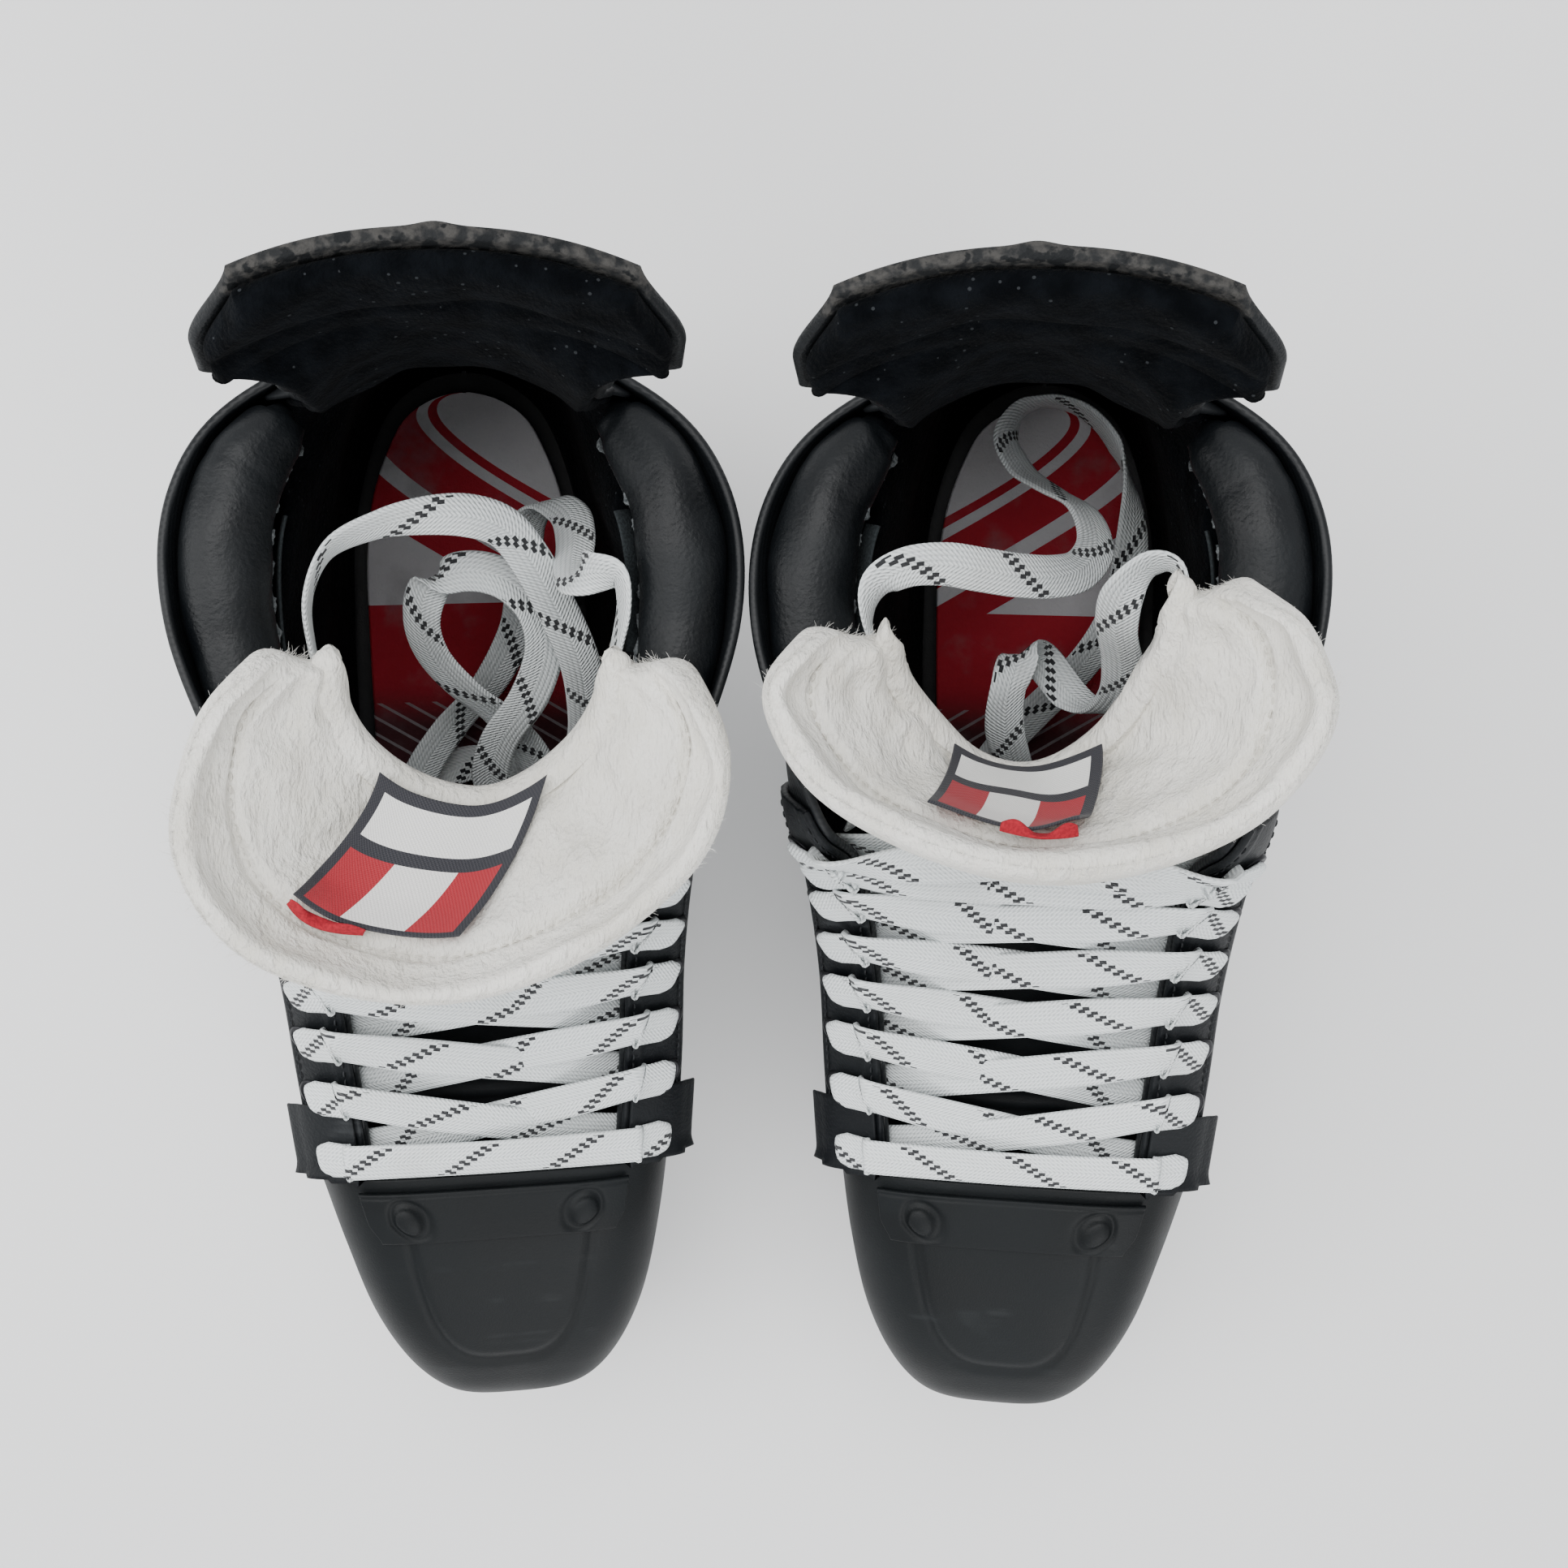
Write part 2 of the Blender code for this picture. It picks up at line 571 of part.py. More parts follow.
def make_lace(skate):
    """The laced stretch: one flat band, narrow in each eyelet, swept along the route."""
    route = lace_half(1)[::-1] + lace_half(-1)[1:]
    bores = [bore(side, k)[0] for side in (1, -1) for k in range(len(EYELETS))]
    shape = bmesh.new()
    rings = []
    previous = None
    for k, (place, face) in enumerate(route):
        ahead = (route[min(k + 1, len(route) - 1)][0] - route[max(k - 1, 0)][0]).normalized()
        across = ahead.cross(face).normalized()
        if previous and across.dot(previous) < 0:
            across = -across
        previous = across
        thin = ahead.cross(across).normalized() * (LACE_T / 2)
        near = min((place - hole).length for hole in bores)
        wide = across * min(LACE_W / 2, 1.5 + 0.8 * max(0.0, near - 3.6))
        rings.append([shape.verts.new((place + corner) * MM) for corner in (
            wide + thin, thin - wide, -wide - thin, wide - thin)])
    for first, second in zip(rings, rings[1:]):
        for n in range(4):
            shape.faces.new((first[n], first[(n + 1) % 4], second[(n + 1) % 4], second[n]))
    shape.faces.new(rings[0][::-1])
    shape.faces.new(rings[-1])
    bmesh.ops.recalc_face_normals(shape, faces=shape.faces)
    mesh = bpy.data.meshes.new("lace")
    shape.to_mesh(mesh)
    shape.free()
    skate.add("lace", mesh, "white_lace")


# Where each loose end lies, by hand: from the top eyelet, up behind the tongue's ear, across the ankle opening
# and down to the insole under the tongue.
TAILS = {
    "right_medial_lace_tail": (
        (40, 22, 162), (34, 34, 166), (31, 47, 171), (33, 59, 177), (35, 70, 183), (34, 77, 184), (29, 78, 180),
        (25, 77, 172), (25, 80, 163), (26, 86, 154), (25, 92, 145), (20, 95, 136), (15, 90, 126), (14, 79, 116),
        (12, 65, 106), (4, 50, 98), (-7, 38, 91), (-16, 24, 85), (-19, 8, 81), (-13, -5, 81), (-1, -7, 83), (8, 2, 84),
        (6, 14, 82),
    ),
    "right_lateral_lace_tail": (
        (-40, 22, 162), (-34, 34, 166), (-30, 47, 170), (-33, 62, 175), (-33, 74, 179), (-28, 84, 180),
        (-18, 89, 178), (-8, 91, 175), (2, 91, 171), (10, 88, 166), (16, 80, 160), (21, 70, 153), (26, 58, 144),
        (28, 47, 132), (28, 36, 119), (24, 24, 109), (13, 17, 105), (4, 24, 109), (6, 36, 121), (14, 48, 133),
        (18, 60, 142), (16, 70, 147), (9, 77, 149), (0, 79, 148), (-8, 76, 144), (-11, 68, 138), (-9, 59, 131),
        (-2, 50, 124), (7, 42, 115), (15, 30, 103), (18, 14, 92), (12, -6, 82), (-2, -19, 76), (-15, -14, 75),
        (-21, 2, 75), (-16, 19, 75), (-2, 27, 75), (13, 22, 75), (20, 8, 75),
    ),
    "left_medial_lace_tail": (
        (40, 22, 162), (34, 34, 166), (31, 48, 171), (33, 60, 178), (35, 70, 185), (33, 78, 189), (27, 82, 190),
        (19, 83, 187), (11, 82, 182), (3, 81, 176), (-5, 81, 168), (-11, 83, 160), (-14, 89, 151), (-11, 97, 142),
        (-3, 102, 134), (4, 107, 126), (8, 115, 118), (5, 123, 110), (-3, 126, 105), (-12, 123, 103),
        (-19, 115, 104), (-23, 104, 106), (-24, 92, 107), (-23, 80, 104), (-19, 68, 99), (-11, 56, 92), (-1, 45, 86),
        (9, 33, 80), (17, 18, 76), (16, 2, 75), (5, -9, 75), (-9, -8, 75), (-18, 3, 75), (-16, 18, 75), (-5, 28, 75),
    ),
    "left_lateral_lace_tail": (
        (-40, 22, 162), (-34, 34, 166), (-30, 48, 170), (-33, 62, 174), (-34, 74, 178), (-31, 83, 181),
        (-25, 84, 181), (-20, 78, 178), (-19, 70, 170), (-21, 62, 158), (-21, 54, 146), (-17, 49, 134),
        (-10, 52, 126), (-3, 60, 127), (2, 62, 135), (5, 55, 140), (6, 45, 134), (4, 35, 122), (1, 27, 109),
        (-2, 16, 97), (-4, 2, 87), (-4, -12, 81), (4, -22, 80), (15, -20, 80), (20, -8, 82),
    ),
}


def make_lace_tails(skate):
    for name in (f"{part}_lace_tail" for part in ("medial", "lateral")):
        knots = [Vector(p) for p in TAILS[f"{skate.side}_{name}"]]
        steps = 3 * (len(knots) - 1) // 2
        points = [between(knots, k / 1.5) for k in range(steps + 1)]
        skate.tube(name, points, TAIL_R, "white_lace", resolution=1)


# ---------------------------------------------------------------- blade holder and runner
def runner_outline():
    """Side view of the steel: a long rocker, turned-up ends and a straight top edge, as (y, z)."""
    flat, reach = 46.0, 142.0
    bottom = []
    for k in range(17):
        y = -reach + 2 * reach * k / 16
        out = max(0.0, abs(y) - flat) / (reach - flat)
        bottom.append((y, 2.6 * out ** 2 + 9.0 * out ** 9))
    return bottom + [(reach + 2, 20.0), (reach - 2, STEEL_TOP), (-reach + 2, STEEL_TOP), (-reach - 2, 20.0)]


def make_runner(skate):
    runner = skate.side_plate("runner", runner_outline(), STEEL / 2, "polished_steel")
    for k, y in enumerate(BOLT_Y):
        hole = skate.rod(f"runner_hole_{k}", (-4, y, BOLT_Z), (4, y, BOLT_Z), BOLT_R + 0.4)
        skate.cut(runner, hole)


def holder_top(y):
    return sole_z(y) - GAP - OUTSOLE - GAP


def make_holder(skate):
    """A rail with two towers and two flanges, joined into one moulding, with a slot for the steel."""
    rail_outline = [(-141, 20), (141, 20), (143, 27), (128, 36), (96, 42), (52, 38), (22, 33), (-22, 32),
                    (-48, 37), (-84, 42), (-120, 38), (-143, 28)]
    holder = skate.side_plate("blade_holder", rail_outline, HOLDER_HALF, "white_plastic")

    def tower(foot, top, half):
        def corners(sx, sy, sz):
            y = (foot if sz < 0 else top)[0 if sy < 0 else 1]
            z = 33.0 if sz < 0 else holder_top(y) - 1.0
            return sx * (HOLDER_HALF - 0.6 if sz < 0 else half), y, z

        return corners

    def flange(span, half):
        def corners(sx, sy, sz):
            y = span[0 if sy < 0 else 1]
            return sx * half, y, holder_top(y) - (3.2 if sz < 0 else 0.0)

        return corners

    blocks = (
        ("front_tower", tower((-112, -44), (-106, -40), 15.0)),
        ("rear_tower", tower((66, 124), (60, 118), 13.0)),
        ("front_flange", flange((-116, -34), 31.0)),
        ("rear_flange", flange((54, 124), 24.0)),
    )
    for name, corners in blocks:
        skate.cut(holder, skate.block(name, corners), "UNION")
    slot_half = STEEL / 2 + 0.35
    slot = skate.block("runner_slot", lambda sx, sy, sz: (sx * slot_half, sy * 150, 10 if sz < 0 else STEEL_TOP + 0.35))
    skate.cut(holder, slot)
    for k, (y, x) in enumerate(RIVETS):
        z = holder_top(y)
        hole = skate.rod(f"flange_hole_{k}", (x, y, z - 12), (x, y, z + 6), RIVET_R + 0.35)
        skate.cut(holder, hole)
    for k, y in enumerate(BOLT_Y):
        hole = skate.rod(f"holder_hole_{k}", (-20, y, BOLT_Z), (20, y, BOLT_Z), BOLT_R + 0.35)
        skate.cut(holder, hole)


def make_fasteners(skate):
    for place, y in zip(("front", "rear"), BOLT_Y):
        bolt = skate.rod(f"{place}_runner_bolt", (-8.4, y, BOLT_Z), (7.0, y, BOLT_Z), BOLT_R, "bolt_steel")
        head = skate.rod(f"{place}_bolt_head", (6.0, y, BOLT_Z), (8.6, y, BOLT_Z), 4.4, radius_end=3.8)
        skate.cut(bolt, head, "UNION")
        nut = skate.rod(f"{place}_runner_nut", (-8.8, y, BOLT_Z), (-6.0, y, BOLT_Z), 4.4, "bolt_steel", sides=6)
        bore = skate.rod(f"{place}_nut_bore", (-12, y, BOLT_Z), (-3, y, BOLT_Z), BOLT_R + 0.35)
        skate.cut(nut, bore)
    for k, (y, x) in enumerate(RIVETS):
        top, foot = sole_z(y), holder_top(y) - 3.2 - GAP
        rivet = skate.rod(f"rivet_{k + 1}", (x, y, foot - 0.6), (x, y, top + 0.6), RIVET_R, "copper", sides=8)
        head = skate.rod(f"rivet_head_{k + 1}", (x, y, foot - 1.6), (x, y, foot), 3.2, radius_end=4.2, sides=8)
        clench = skate.rod(f"rivet_clench_{k + 1}", (x, y, top), (x, y, top + 1.2), 4.0, radius_end=3.4, sides=8)
        skate.cut(rivet, head, "UNION")
        skate.cut(rivet, clench, "UNION")


# ---------------------------------------------------------------- the pair
def stand_empty(name, side, collection):
    """The empty that leans, turns and places one skate; it mirrors the left one."""
    sign = 1 if side == "right" else -1
    made = bpy.data.objects.new(name, None)
    lean, turn = math.radians(LEAN_DEG), math.radians(TOE_IN_DEG)
    ahead = 0.0 if side == "right" else LEFT_AHEAD
    place = Vector((-sign * STANCE_HALF, -ahead, 0)) + PAIR_SHIFT
    made.location = place * MM
    made.rotation_mode = "XYZ"
    made.rotation_euler = Euler((0, sign * lean, sign * turn))
    made.scale = (sign, 1, 1)
    collection.objects.link(made)
    return made


def pivot_empty(name, stand, pivot, collection):
    """An empty on a joint's axis."""
    made = bpy.data.objects.new(name, None)
    made.parent = stand
    made.location = pivot * MM
    collection.objects.link(made)
    return made


def main():
    for old in list(bpy.data.objects):
        bpy.data.objects.remove(old)
    make_materials()
    parts = bpy.data.collections.new("ice_skates")
    cutters = bpy.data.collections.new("cutters")
    bpy.context.scene.collection.children.link(parts)
    bpy.context.scene.collection.children.link(cutters)
    for side in ("right", "left"):
        stand = stand_empty(f"{side}_stand", side, parts)
        skate = Skate(side, stand, parts, cutters)
        fold = pivot_empty(f"{side}_tongue_fold", stand, TONGUE_PIVOT, parts)
        flex = pivot_empty(f"{side}_tendon_flex", stand, GUARD_PIVOT, parts)
        make_quarters(skate)
        make_lining(skate)
        make_collar_pads(skate)
        make_toe(skate)
        make_soles(skate)
        make_tongue(skate, fold)
        make_tendon_guard(skate, flex)
        make_lace(skate)
        make_lace_tails(skate)
        make_runner(skate)
        make_holder(skate)
        make_fasteners(skate)


main()
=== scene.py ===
"""The looks of the pair of ice hockey skates: fine surfaces and materials over the fixed CAD frame.

Every shape is drawn in one skate's own frame, in millimetres: toe at -Y, heel at +Y, medial side at +X and z = 0 at
the ice. A matrix for each side then leans, turns and places it, and mirrors it for the left skate.
"""
import math

import bmesh
import bpy
import numpy as np
from mathutils import Euler, Matrix, Vector


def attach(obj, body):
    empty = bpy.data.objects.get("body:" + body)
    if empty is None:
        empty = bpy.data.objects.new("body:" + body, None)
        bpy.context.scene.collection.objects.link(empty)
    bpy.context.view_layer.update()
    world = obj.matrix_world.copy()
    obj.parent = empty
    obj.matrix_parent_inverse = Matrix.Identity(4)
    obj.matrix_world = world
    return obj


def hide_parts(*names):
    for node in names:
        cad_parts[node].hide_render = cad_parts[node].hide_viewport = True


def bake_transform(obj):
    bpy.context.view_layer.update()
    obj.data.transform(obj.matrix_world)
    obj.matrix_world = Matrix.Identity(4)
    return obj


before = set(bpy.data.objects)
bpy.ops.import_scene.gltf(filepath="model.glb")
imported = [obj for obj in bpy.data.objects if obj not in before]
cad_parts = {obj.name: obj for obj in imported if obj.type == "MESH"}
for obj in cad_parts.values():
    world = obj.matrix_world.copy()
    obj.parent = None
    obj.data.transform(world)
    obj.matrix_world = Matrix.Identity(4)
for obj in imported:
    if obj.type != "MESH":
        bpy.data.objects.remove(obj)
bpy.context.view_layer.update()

MM = 0.001
SIDES = ("right", "left")

# ---------------------------------------------------------------- the frame's dimensions, in millimetres
LEAN_DEG = 8.3
TOE_IN_DEG = 1.3
STANCE_HALF = 86.6
LEFT_AHEAD = 3.3
PAIR_SHIFT = Vector((0.0, 6.958, 0.2165))
SHELL = 2.2
GAP = 0.35
OVERLAY_GAP = 0.6
EYESTAY = 1.4
FELT = 6.6
FACING = 1.6
OUTSOLE = 3.0
INSOLE = 3.4
STEEL = 3.0
STEEL_TOP = 30.0
HOLDER_HALF = 5.6
BOLT_Y = (-104.0, 98.0)
BOLT_Z = 25.5
EYELETS = (0.2, 0.82, 1.38, 1.88, 2.33, 2.75, 3.12, 3.47)
EYELET_V = 0.84
EYELET_R = 3.0
LACE_W = 9.8
LACE_T = 1.6

STATIONS = (
    ((-76, 60, 43, 44), (-76, 74, 47.5, 47.5), (-76, 89, 49, 48.5), (-76, 100, 49, 47), (-76, 107, 46.5, 43.5),
     (-76, 114, 33, 31)),
    ((-50, 60, 43, 46), (-50, 75, 49.5, 50), (-49, 90, 51.5, 50.5), (-48, 104, 51, 49.5), (-47.5, 114, 48, 46),
     (-47, 123.5, 34.5, 33)),
    ((-22, 60, 38, 42), (-22, 78, 46, 48.5), (-21, 98, 49.5, 50.5), (-20, 117, 51, 50.5), (-18.5, 131, 48, 47),
     (-17, 142, 35, 34.5)),
    ((8, 61.4, 34, 38), (8, 82, 42, 45), (8, 108, 47, 49), (9, 135, 51, 51), (10, 158, 49, 49),
     (13, 171, 37, 37)),
    ((34, 62.7, 34, 36), (34, 84, 41, 43), (33, 112, 45.5, 47), (32, 142, 50, 51), (30, 175, 53, 53.5),
     (27, 192, 45, 46)),
    ((66, 64.3, 35, 36), (66, 85, 41, 42), (66, 112, 42, 43), (66, 139, 47, 48), (66, 164, 56, 58),
     (66, 189, 60.5, 61.5)),
    ((98, 65.8, 33.5, 34), (99, 86, 39, 39), (100, 112, 39, 39), (99, 138, 41, 42), (98, 161, 50, 52),
     (97, 185, 59, 60.5)),
    ((126, 67.2, 22, 22), (131, 88, 27, 27), (132, 112, 27, 27), (128, 138, 27, 27), (123, 160, 32, 33),
     (118.5, 181, 41, 43)),
    ((135.5, 67.7, 0, 0), (145.5, 91, 0, 0), (146.5, 114, 0, 0), (141, 139, 0, 0), (136, 161, 0, 0),
     (134, 181, 0, 0)),
)
HEEL = len(STATIONS) - 1
TOES = (
    (-77, 60, 117, 49, 48, 0),
    (-100, 60, 113.5, 45, 43, 1),
    (-122, 60, 107, 39.5, 37.5, 2),
    (-139, 60, 98, 32, 29.5, 2.5),
    (-150, 60, 85.5, 23, 20.5, 3),
    (-155.5, 60, 60.6, 14.5, 13, 3),
)
TIP_BOW = 2.5
TONGUE_LINE = [(0, y, z) for y, z in ((-86, 98), (-66, 108.5), (-47, 116.5), (-30, 125.5), (-14, 137.5), (0, 151),
                                      (11, 163), (20, 175))]
FLAPS = {
    "right": (
        ((-27, 60, 200), (-26, 50, 196), (-21, 41, 191), (-11, 33, 188), (2, 29.5, 187), (13, 33, 188),
         (23, 41, 191), (29, 50, 196), (31, 58, 200)),
        ((-37, 64, 210), (-53, 48, 215), (-58, 24, 217), (-46, 0, 216), (-10, -11, 214), (24, -2, 214),
         (46, 15, 216), (54, 38, 215), (44, 61, 210)),
    ),
    "left": (
        ((-30, 77, 207), (-28, 67, 201), (-22, 56, 193), (-14, 46, 186), (-2, 39.5, 182), (9, 41, 183),
         (18, 48, 189), (26, 57, 197), (29, 66, 204)),
        ((-40, 81, 216), (-54, 72, 221), (-60, 57, 225), (-49, 37, 230), (-14, 24, 232), (18, 28, 231),
         (41, 38, 227), (52, 55, 222), (42, 71, 216)),
    ),
}
FLAP_SAG = np.array((0, -1.5, -3.0))

# Each loose end's places, from the top eyelet on, and the way its flat width lies at some of them.
TAILS = {
    "right_medial_lace_tail": (
        (40, 22, 162), (34, 34, 166), (31, 47, 171), (33, 59, 177), (35, 70, 183), (34, 77, 184), (29, 78, 180),
        (25, 77, 172), (25, 80, 163), (26, 86, 154), (25, 92, 145), (20, 95, 136), (15, 90, 126), (14, 79, 116),
        (12, 65, 106), (4, 50, 98), (-7, 38, 91), (-16, 24, 85), (-19, 8, 81), (-13, -5, 81), (-1, -7, 83), (8, 2, 84),
        (6, 14, 82),
    ),
    "right_lateral_lace_tail": (
        (-40, 22, 162), (-34, 34, 166), (-30, 47, 170), (-33, 62, 175), (-33, 74, 179), (-28, 84, 180),
        (-18, 89, 178), (-8, 91, 175), (2, 91, 171), (10, 88, 166), (16, 80, 160), (21, 70, 153), (26, 58, 144),
        (28, 47, 132), (28, 36, 119), (24, 24, 109), (13, 17, 105), (4, 24, 109), (6, 36, 121), (14, 48, 133),
        (18, 60, 142), (16, 70, 147), (9, 77, 149), (0, 79, 148), (-8, 76, 144), (-11, 68, 138), (-9, 59, 131),
        (-2, 50, 124), (7, 42, 115), (15, 30, 103), (18, 14, 92), (12, -6, 82), (-2, -19, 76), (-15, -14, 75),
        (-21, 2, 75), (-16, 19, 75), (-2, 27, 75), (13, 22, 75), (20, 8, 75),
    ),
    "left_medial_lace_tail": (
        (40, 22, 162), (34, 34, 166), (31, 48, 171), (33, 60, 178), (35, 70, 185), (33, 78, 189), (27, 82, 190),
        (19, 83, 187), (11, 82, 182), (3, 81, 176), (-5, 81, 168), (-11, 83, 160), (-14, 89, 151), (-11, 97, 142),
        (-3, 102, 134), (4, 107, 126), (8, 115, 118), (5, 123, 110), (-3, 126, 105), (-12, 123, 103),
        (-19, 115, 104), (-23, 104, 106), (-24, 92, 107), (-23, 80, 104), (-19, 68, 99), (-11, 56, 92), (-1, 45, 86),
        (9, 33, 80), (17, 18, 76), (16, 2, 75), (5, -9, 75), (-9, -8, 75), (-18, 3, 75), (-16, 18, 75), (-5, 28, 75),
    ),
    "left_lateral_lace_tail": (
        (-40, 22, 162), (-34, 34, 166), (-30, 48, 170), (-33, 62, 174), (-34, 74, 178), (-31, 83, 181),
        (-25, 84, 181), (-20, 78, 178), (-19, 70, 170), (-21, 62, 158), (-21, 54, 146), (-17, 49, 134),
        (-10, 52, 126), (-3, 60, 127), (2, 62, 135), (5, 55, 140), (6, 45, 134), (4, 35, 122), (1, 27, 109),
        (-2, 16, 97), (-4, 2, 87), (-4, -12, 81), (4, -22, 80), (15, -20, 80), (20, -8, 82),
    ),
}
# (place number, direction of the width there)
TAIL_TURNS = {
    "right_medial_lace_tail": ((0, (0, 0.3, 1)), (4, (0.2, 0.1, 1)), (6, (0.2, 0.7, 0.7)), (8, (1, 0.3, 0.2)),
                               (12, (1, 0.2, 0)), (22, (1, 0.5, 0))),
    "right_lateral_lace_tail": ((0, (0, 0.3, 1)), (4, (0, 0.2, 1)), (6, (0.1, 0.6, 0.8)), (8, (0, 1, 0.25)),
                                (11, (1, 0.4, 0)), (14, (1, 0, 0)), (19, (1, -0.2, 0)), (22, (0.2, 1, -0.2)),
                                (25, (0.9, 0, 0.5)), (30, (1, 0, 0)), (38, (0, 1, 0))),
    "left_medial_lace_tail": ((0, (0, 0.3, 1)), (3, (0, 0.2, 1)), (6, (0, 1, 0.5)), (9, (0, 1, 0.1)),
                              (12, (1, 0.4, 0.3)), (16, (0.4, -0.3, 0.9)), (20, (0, 0.6, 0.8)), (23, (1, 0, 0.3)),
                              (34, (0, 1, 0))),
    "left_lateral_lace_tail": ((0, (0, 0.3, 1)), (4, (0, 0.2, 1)), (6, (0.1, 0.5, 0.8)), (8, (0.9, 0.3, 0)),
                               (11, (1, 0, 0)), (14, (0.6, -0.4, 0.5)), (17, (1, 0, 0)), (24, (0, 1, 0))),
}


# ---------------------------------------------------------------- shape helpers
def curve(values, t):
    """Catmull-Rom through evenly spaced values, at each t from 0 to len(values) - 1."""
    values, t = np.asarray(values, float), np.asarray(t, float)
    padded = np.concatenate([2 * values[:1] - values[1:2], values, 2 * values[-1:] - values[-2:-1]])
    i = np.clip(np.floor(t).astype(int), 0, len(values) - 2)
    f = (t - i).reshape(t.shape + (1,) * (values.ndim - 1))
    a, b, c, d = (padded[i + k] for k in range(4))
    return (2 * b + (c - a) * f + (2 * a - 5 * b + 4 * c - d) * f ** 2 + (3 * b - a - 3 * c + d) * f ** 3) / 2


def curve_each(values, t):
    """As curve, with a row of values of its own for each t."""
    first, last = 2 * values[..., :1, :] - values[..., 1:2, :], 2 * values[..., -1:, :] - values[..., -2:-1, :]
    padded = np.concatenate([first, values, last], axis=-2)
    i = np.clip(np.floor(t).astype(int), 0, values.shape[-2] - 2)
    f = (t - i)[..., None]
    a, b, c, d = (np.take_along_axis(padded, (i + k)[..., None, None], axis=-2)[..., 0, :] for k in range(4))
    return (2 * b + (c - a) * f + (2 * a - 5 * b + 4 * c - d) * f ** 2 + (3 * b - a - 3 * c + d) * f ** 3) / 2


def unit(vectors):
    return vectors / np.maximum(np.linalg.norm(vectors, axis=-1, keepdims=True), 1e-9)


def smooth(low, high, t):
    """0 below low, 1 above high, and an S between them."""
    share = np.clip((t - low) / (high - low), 0, 1)
    return share * share * (3 - 2 * share)


def offset_surface(surface, u_span, v_span, step, flip=False):
    """Gives place(u, v, inset): the surface moved by inset against its normal."""
    def place(u, v, inset=0.0):
        u, v = np.broadcast_arrays(np.asarray(u, float), np.asarray(v, float))
        along = surface(np.minimum(u + step, u_span[1]), v) - surface(np.maximum(u - step, u_span[0]), v)
        up = surface(u, np.minimum(v + step, v_span[1])) - surface(u, np.maximum(v - step, v_span[0]))
        normal = unit(np.cross(up, along) if flip else np.cross(along, up))
        return surface(u, v) - normal * np.broadcast_to(inset, u.shape)[..., None]

    return place


def wall_columns():
    medial = [[(m, y, z) for y, z, m, _ in column] for column in STATIONS]
    lateral = [[(-w, y, z) for y, z, _, w in column] for column in STATIONS[:-1]]
    return np.array(medial + lateral[::-1], float)


COLUMNS = wall_columns()
ROWS = COLUMNS.shape[1] - 1
# a runs 0 (medial front) - HEEL - 2 * HEEL (lateral front), v 0 (sole) - 1 (edge).
wall = offset_surface(lambda a, v: curve_each(curve(COLUMNS, a), v * ROWS), (0, 2 * HEEL), (0, 1), 0.02)


def sole_z(y):
    return 60.0 + np.maximum(0.0, y + 20.0) * 0.0493


def toe_surface(u, w):
    row = curve(TOES, w * (len(TOES) - 1))
    y, low, high, medial, lateral, middle = (row[..., k] for k in range(6))
    turn = math.pi * u
    half = np.where(u < 0.5, medial, lateral)
    boxy = 0.42 + 0.22 * w
    out = np.copysign(np.abs(np.cos(turn)) ** boxy, np.cos(turn))
    rise = np.abs(np.sin(turn)) ** boxy
    waist = 1 - 0.07 * (1 - rise) ** 4
    bow = TIP_BOW * np.abs(w) ** 8 * (out * out - 1)
    return np.stack([middle + half * out * waist, y + bow, low + (high - low) * rise], axis=-1)


# u runs 0 (medial sole edge) - 1 (lateral sole edge), w 0 (rear edge) - 1 (tip).
toe = offset_surface(toe_surface, (0, 1), (0, 1), 0.01)


def tongue_surface(x, t):
    """x across in mm, t 0 (under the toe cap) - 1 (at the fold)."""
    span = len(TONGUE_LINE) - 1
    line = curve(TONGUE_LINE, t * span)
    ahead = curve(TONGUE_LINE, np.minimum(t * span + 0.05, span)) - curve(TONGUE_LINE, np.maximum(t * span - 0.05, 0))
    up = unit(np.cross((1.0, 0.0, 0.0), ahead))
    across = np.stack([x, 0 * x, 0 * x], axis=-1)
    return line + across - up * (0.0046 * x * x)[..., None]


tongue = offset_surface(tongue_surface, (-40, 40), (0, 1), 0.01)


def flap_surface(side):
    inner, rim = (np.array(line, float) for line in FLAPS[side])

    def surface(p, q):
        t = p * (len(rim) - 1)
        sag = (4 * q * (1 - q))[..., None] * FLAP_SAG
        return curve(inner, t) * (1 - q)[..., None] + curve(rim, t) * q[..., None] + sag

    return surface


# p runs 0 - 1 from the lateral ear to the medial one, q 0 - 1 out to the rim; the normal is on the foot side.
flaps = {side: offset_surface(flap_surface(side), (0, 1), (0, 1), 0.01, flip=True) for side in SIDES}


GUARD_STEP = (0.61, 0.695)  # where the tendon guard's stem widens into its wings


def guard_surface(u, w):
    neck = curve([35.0, 33.0, 32.0, 32.0, 32.0, 32.5], np.minimum(w, 0.5) * 10)
    wing = 44.8 - 9.5 * smooth(0.80, 1.02, w)
    half = neck + (wing - neck) * smooth(GUARD_STEP[0], GUARD_STEP[1], w)
    back = curve([130.0, 128.0, 128.0, 130.0, 133.0, 136.5], w * 5)
    bow = curve([13.0, 13.0, 13.0, 15.5, 13.0, 6.0], w * 5)
    height = 184.5 + w * (81.0 - 3.5 * np.abs(u) ** 2.5)
    return np.stack([half * u, back - bow * np.abs(u) ** 2.2, height], axis=-1)


# u runs -1 - 1 across the tendon guard, w 0 (base) - 1 (top); the normal is at its back.
guard = offset_surface(guard_surface, (-1, 1), (0, 1), 0.02, flip=True)


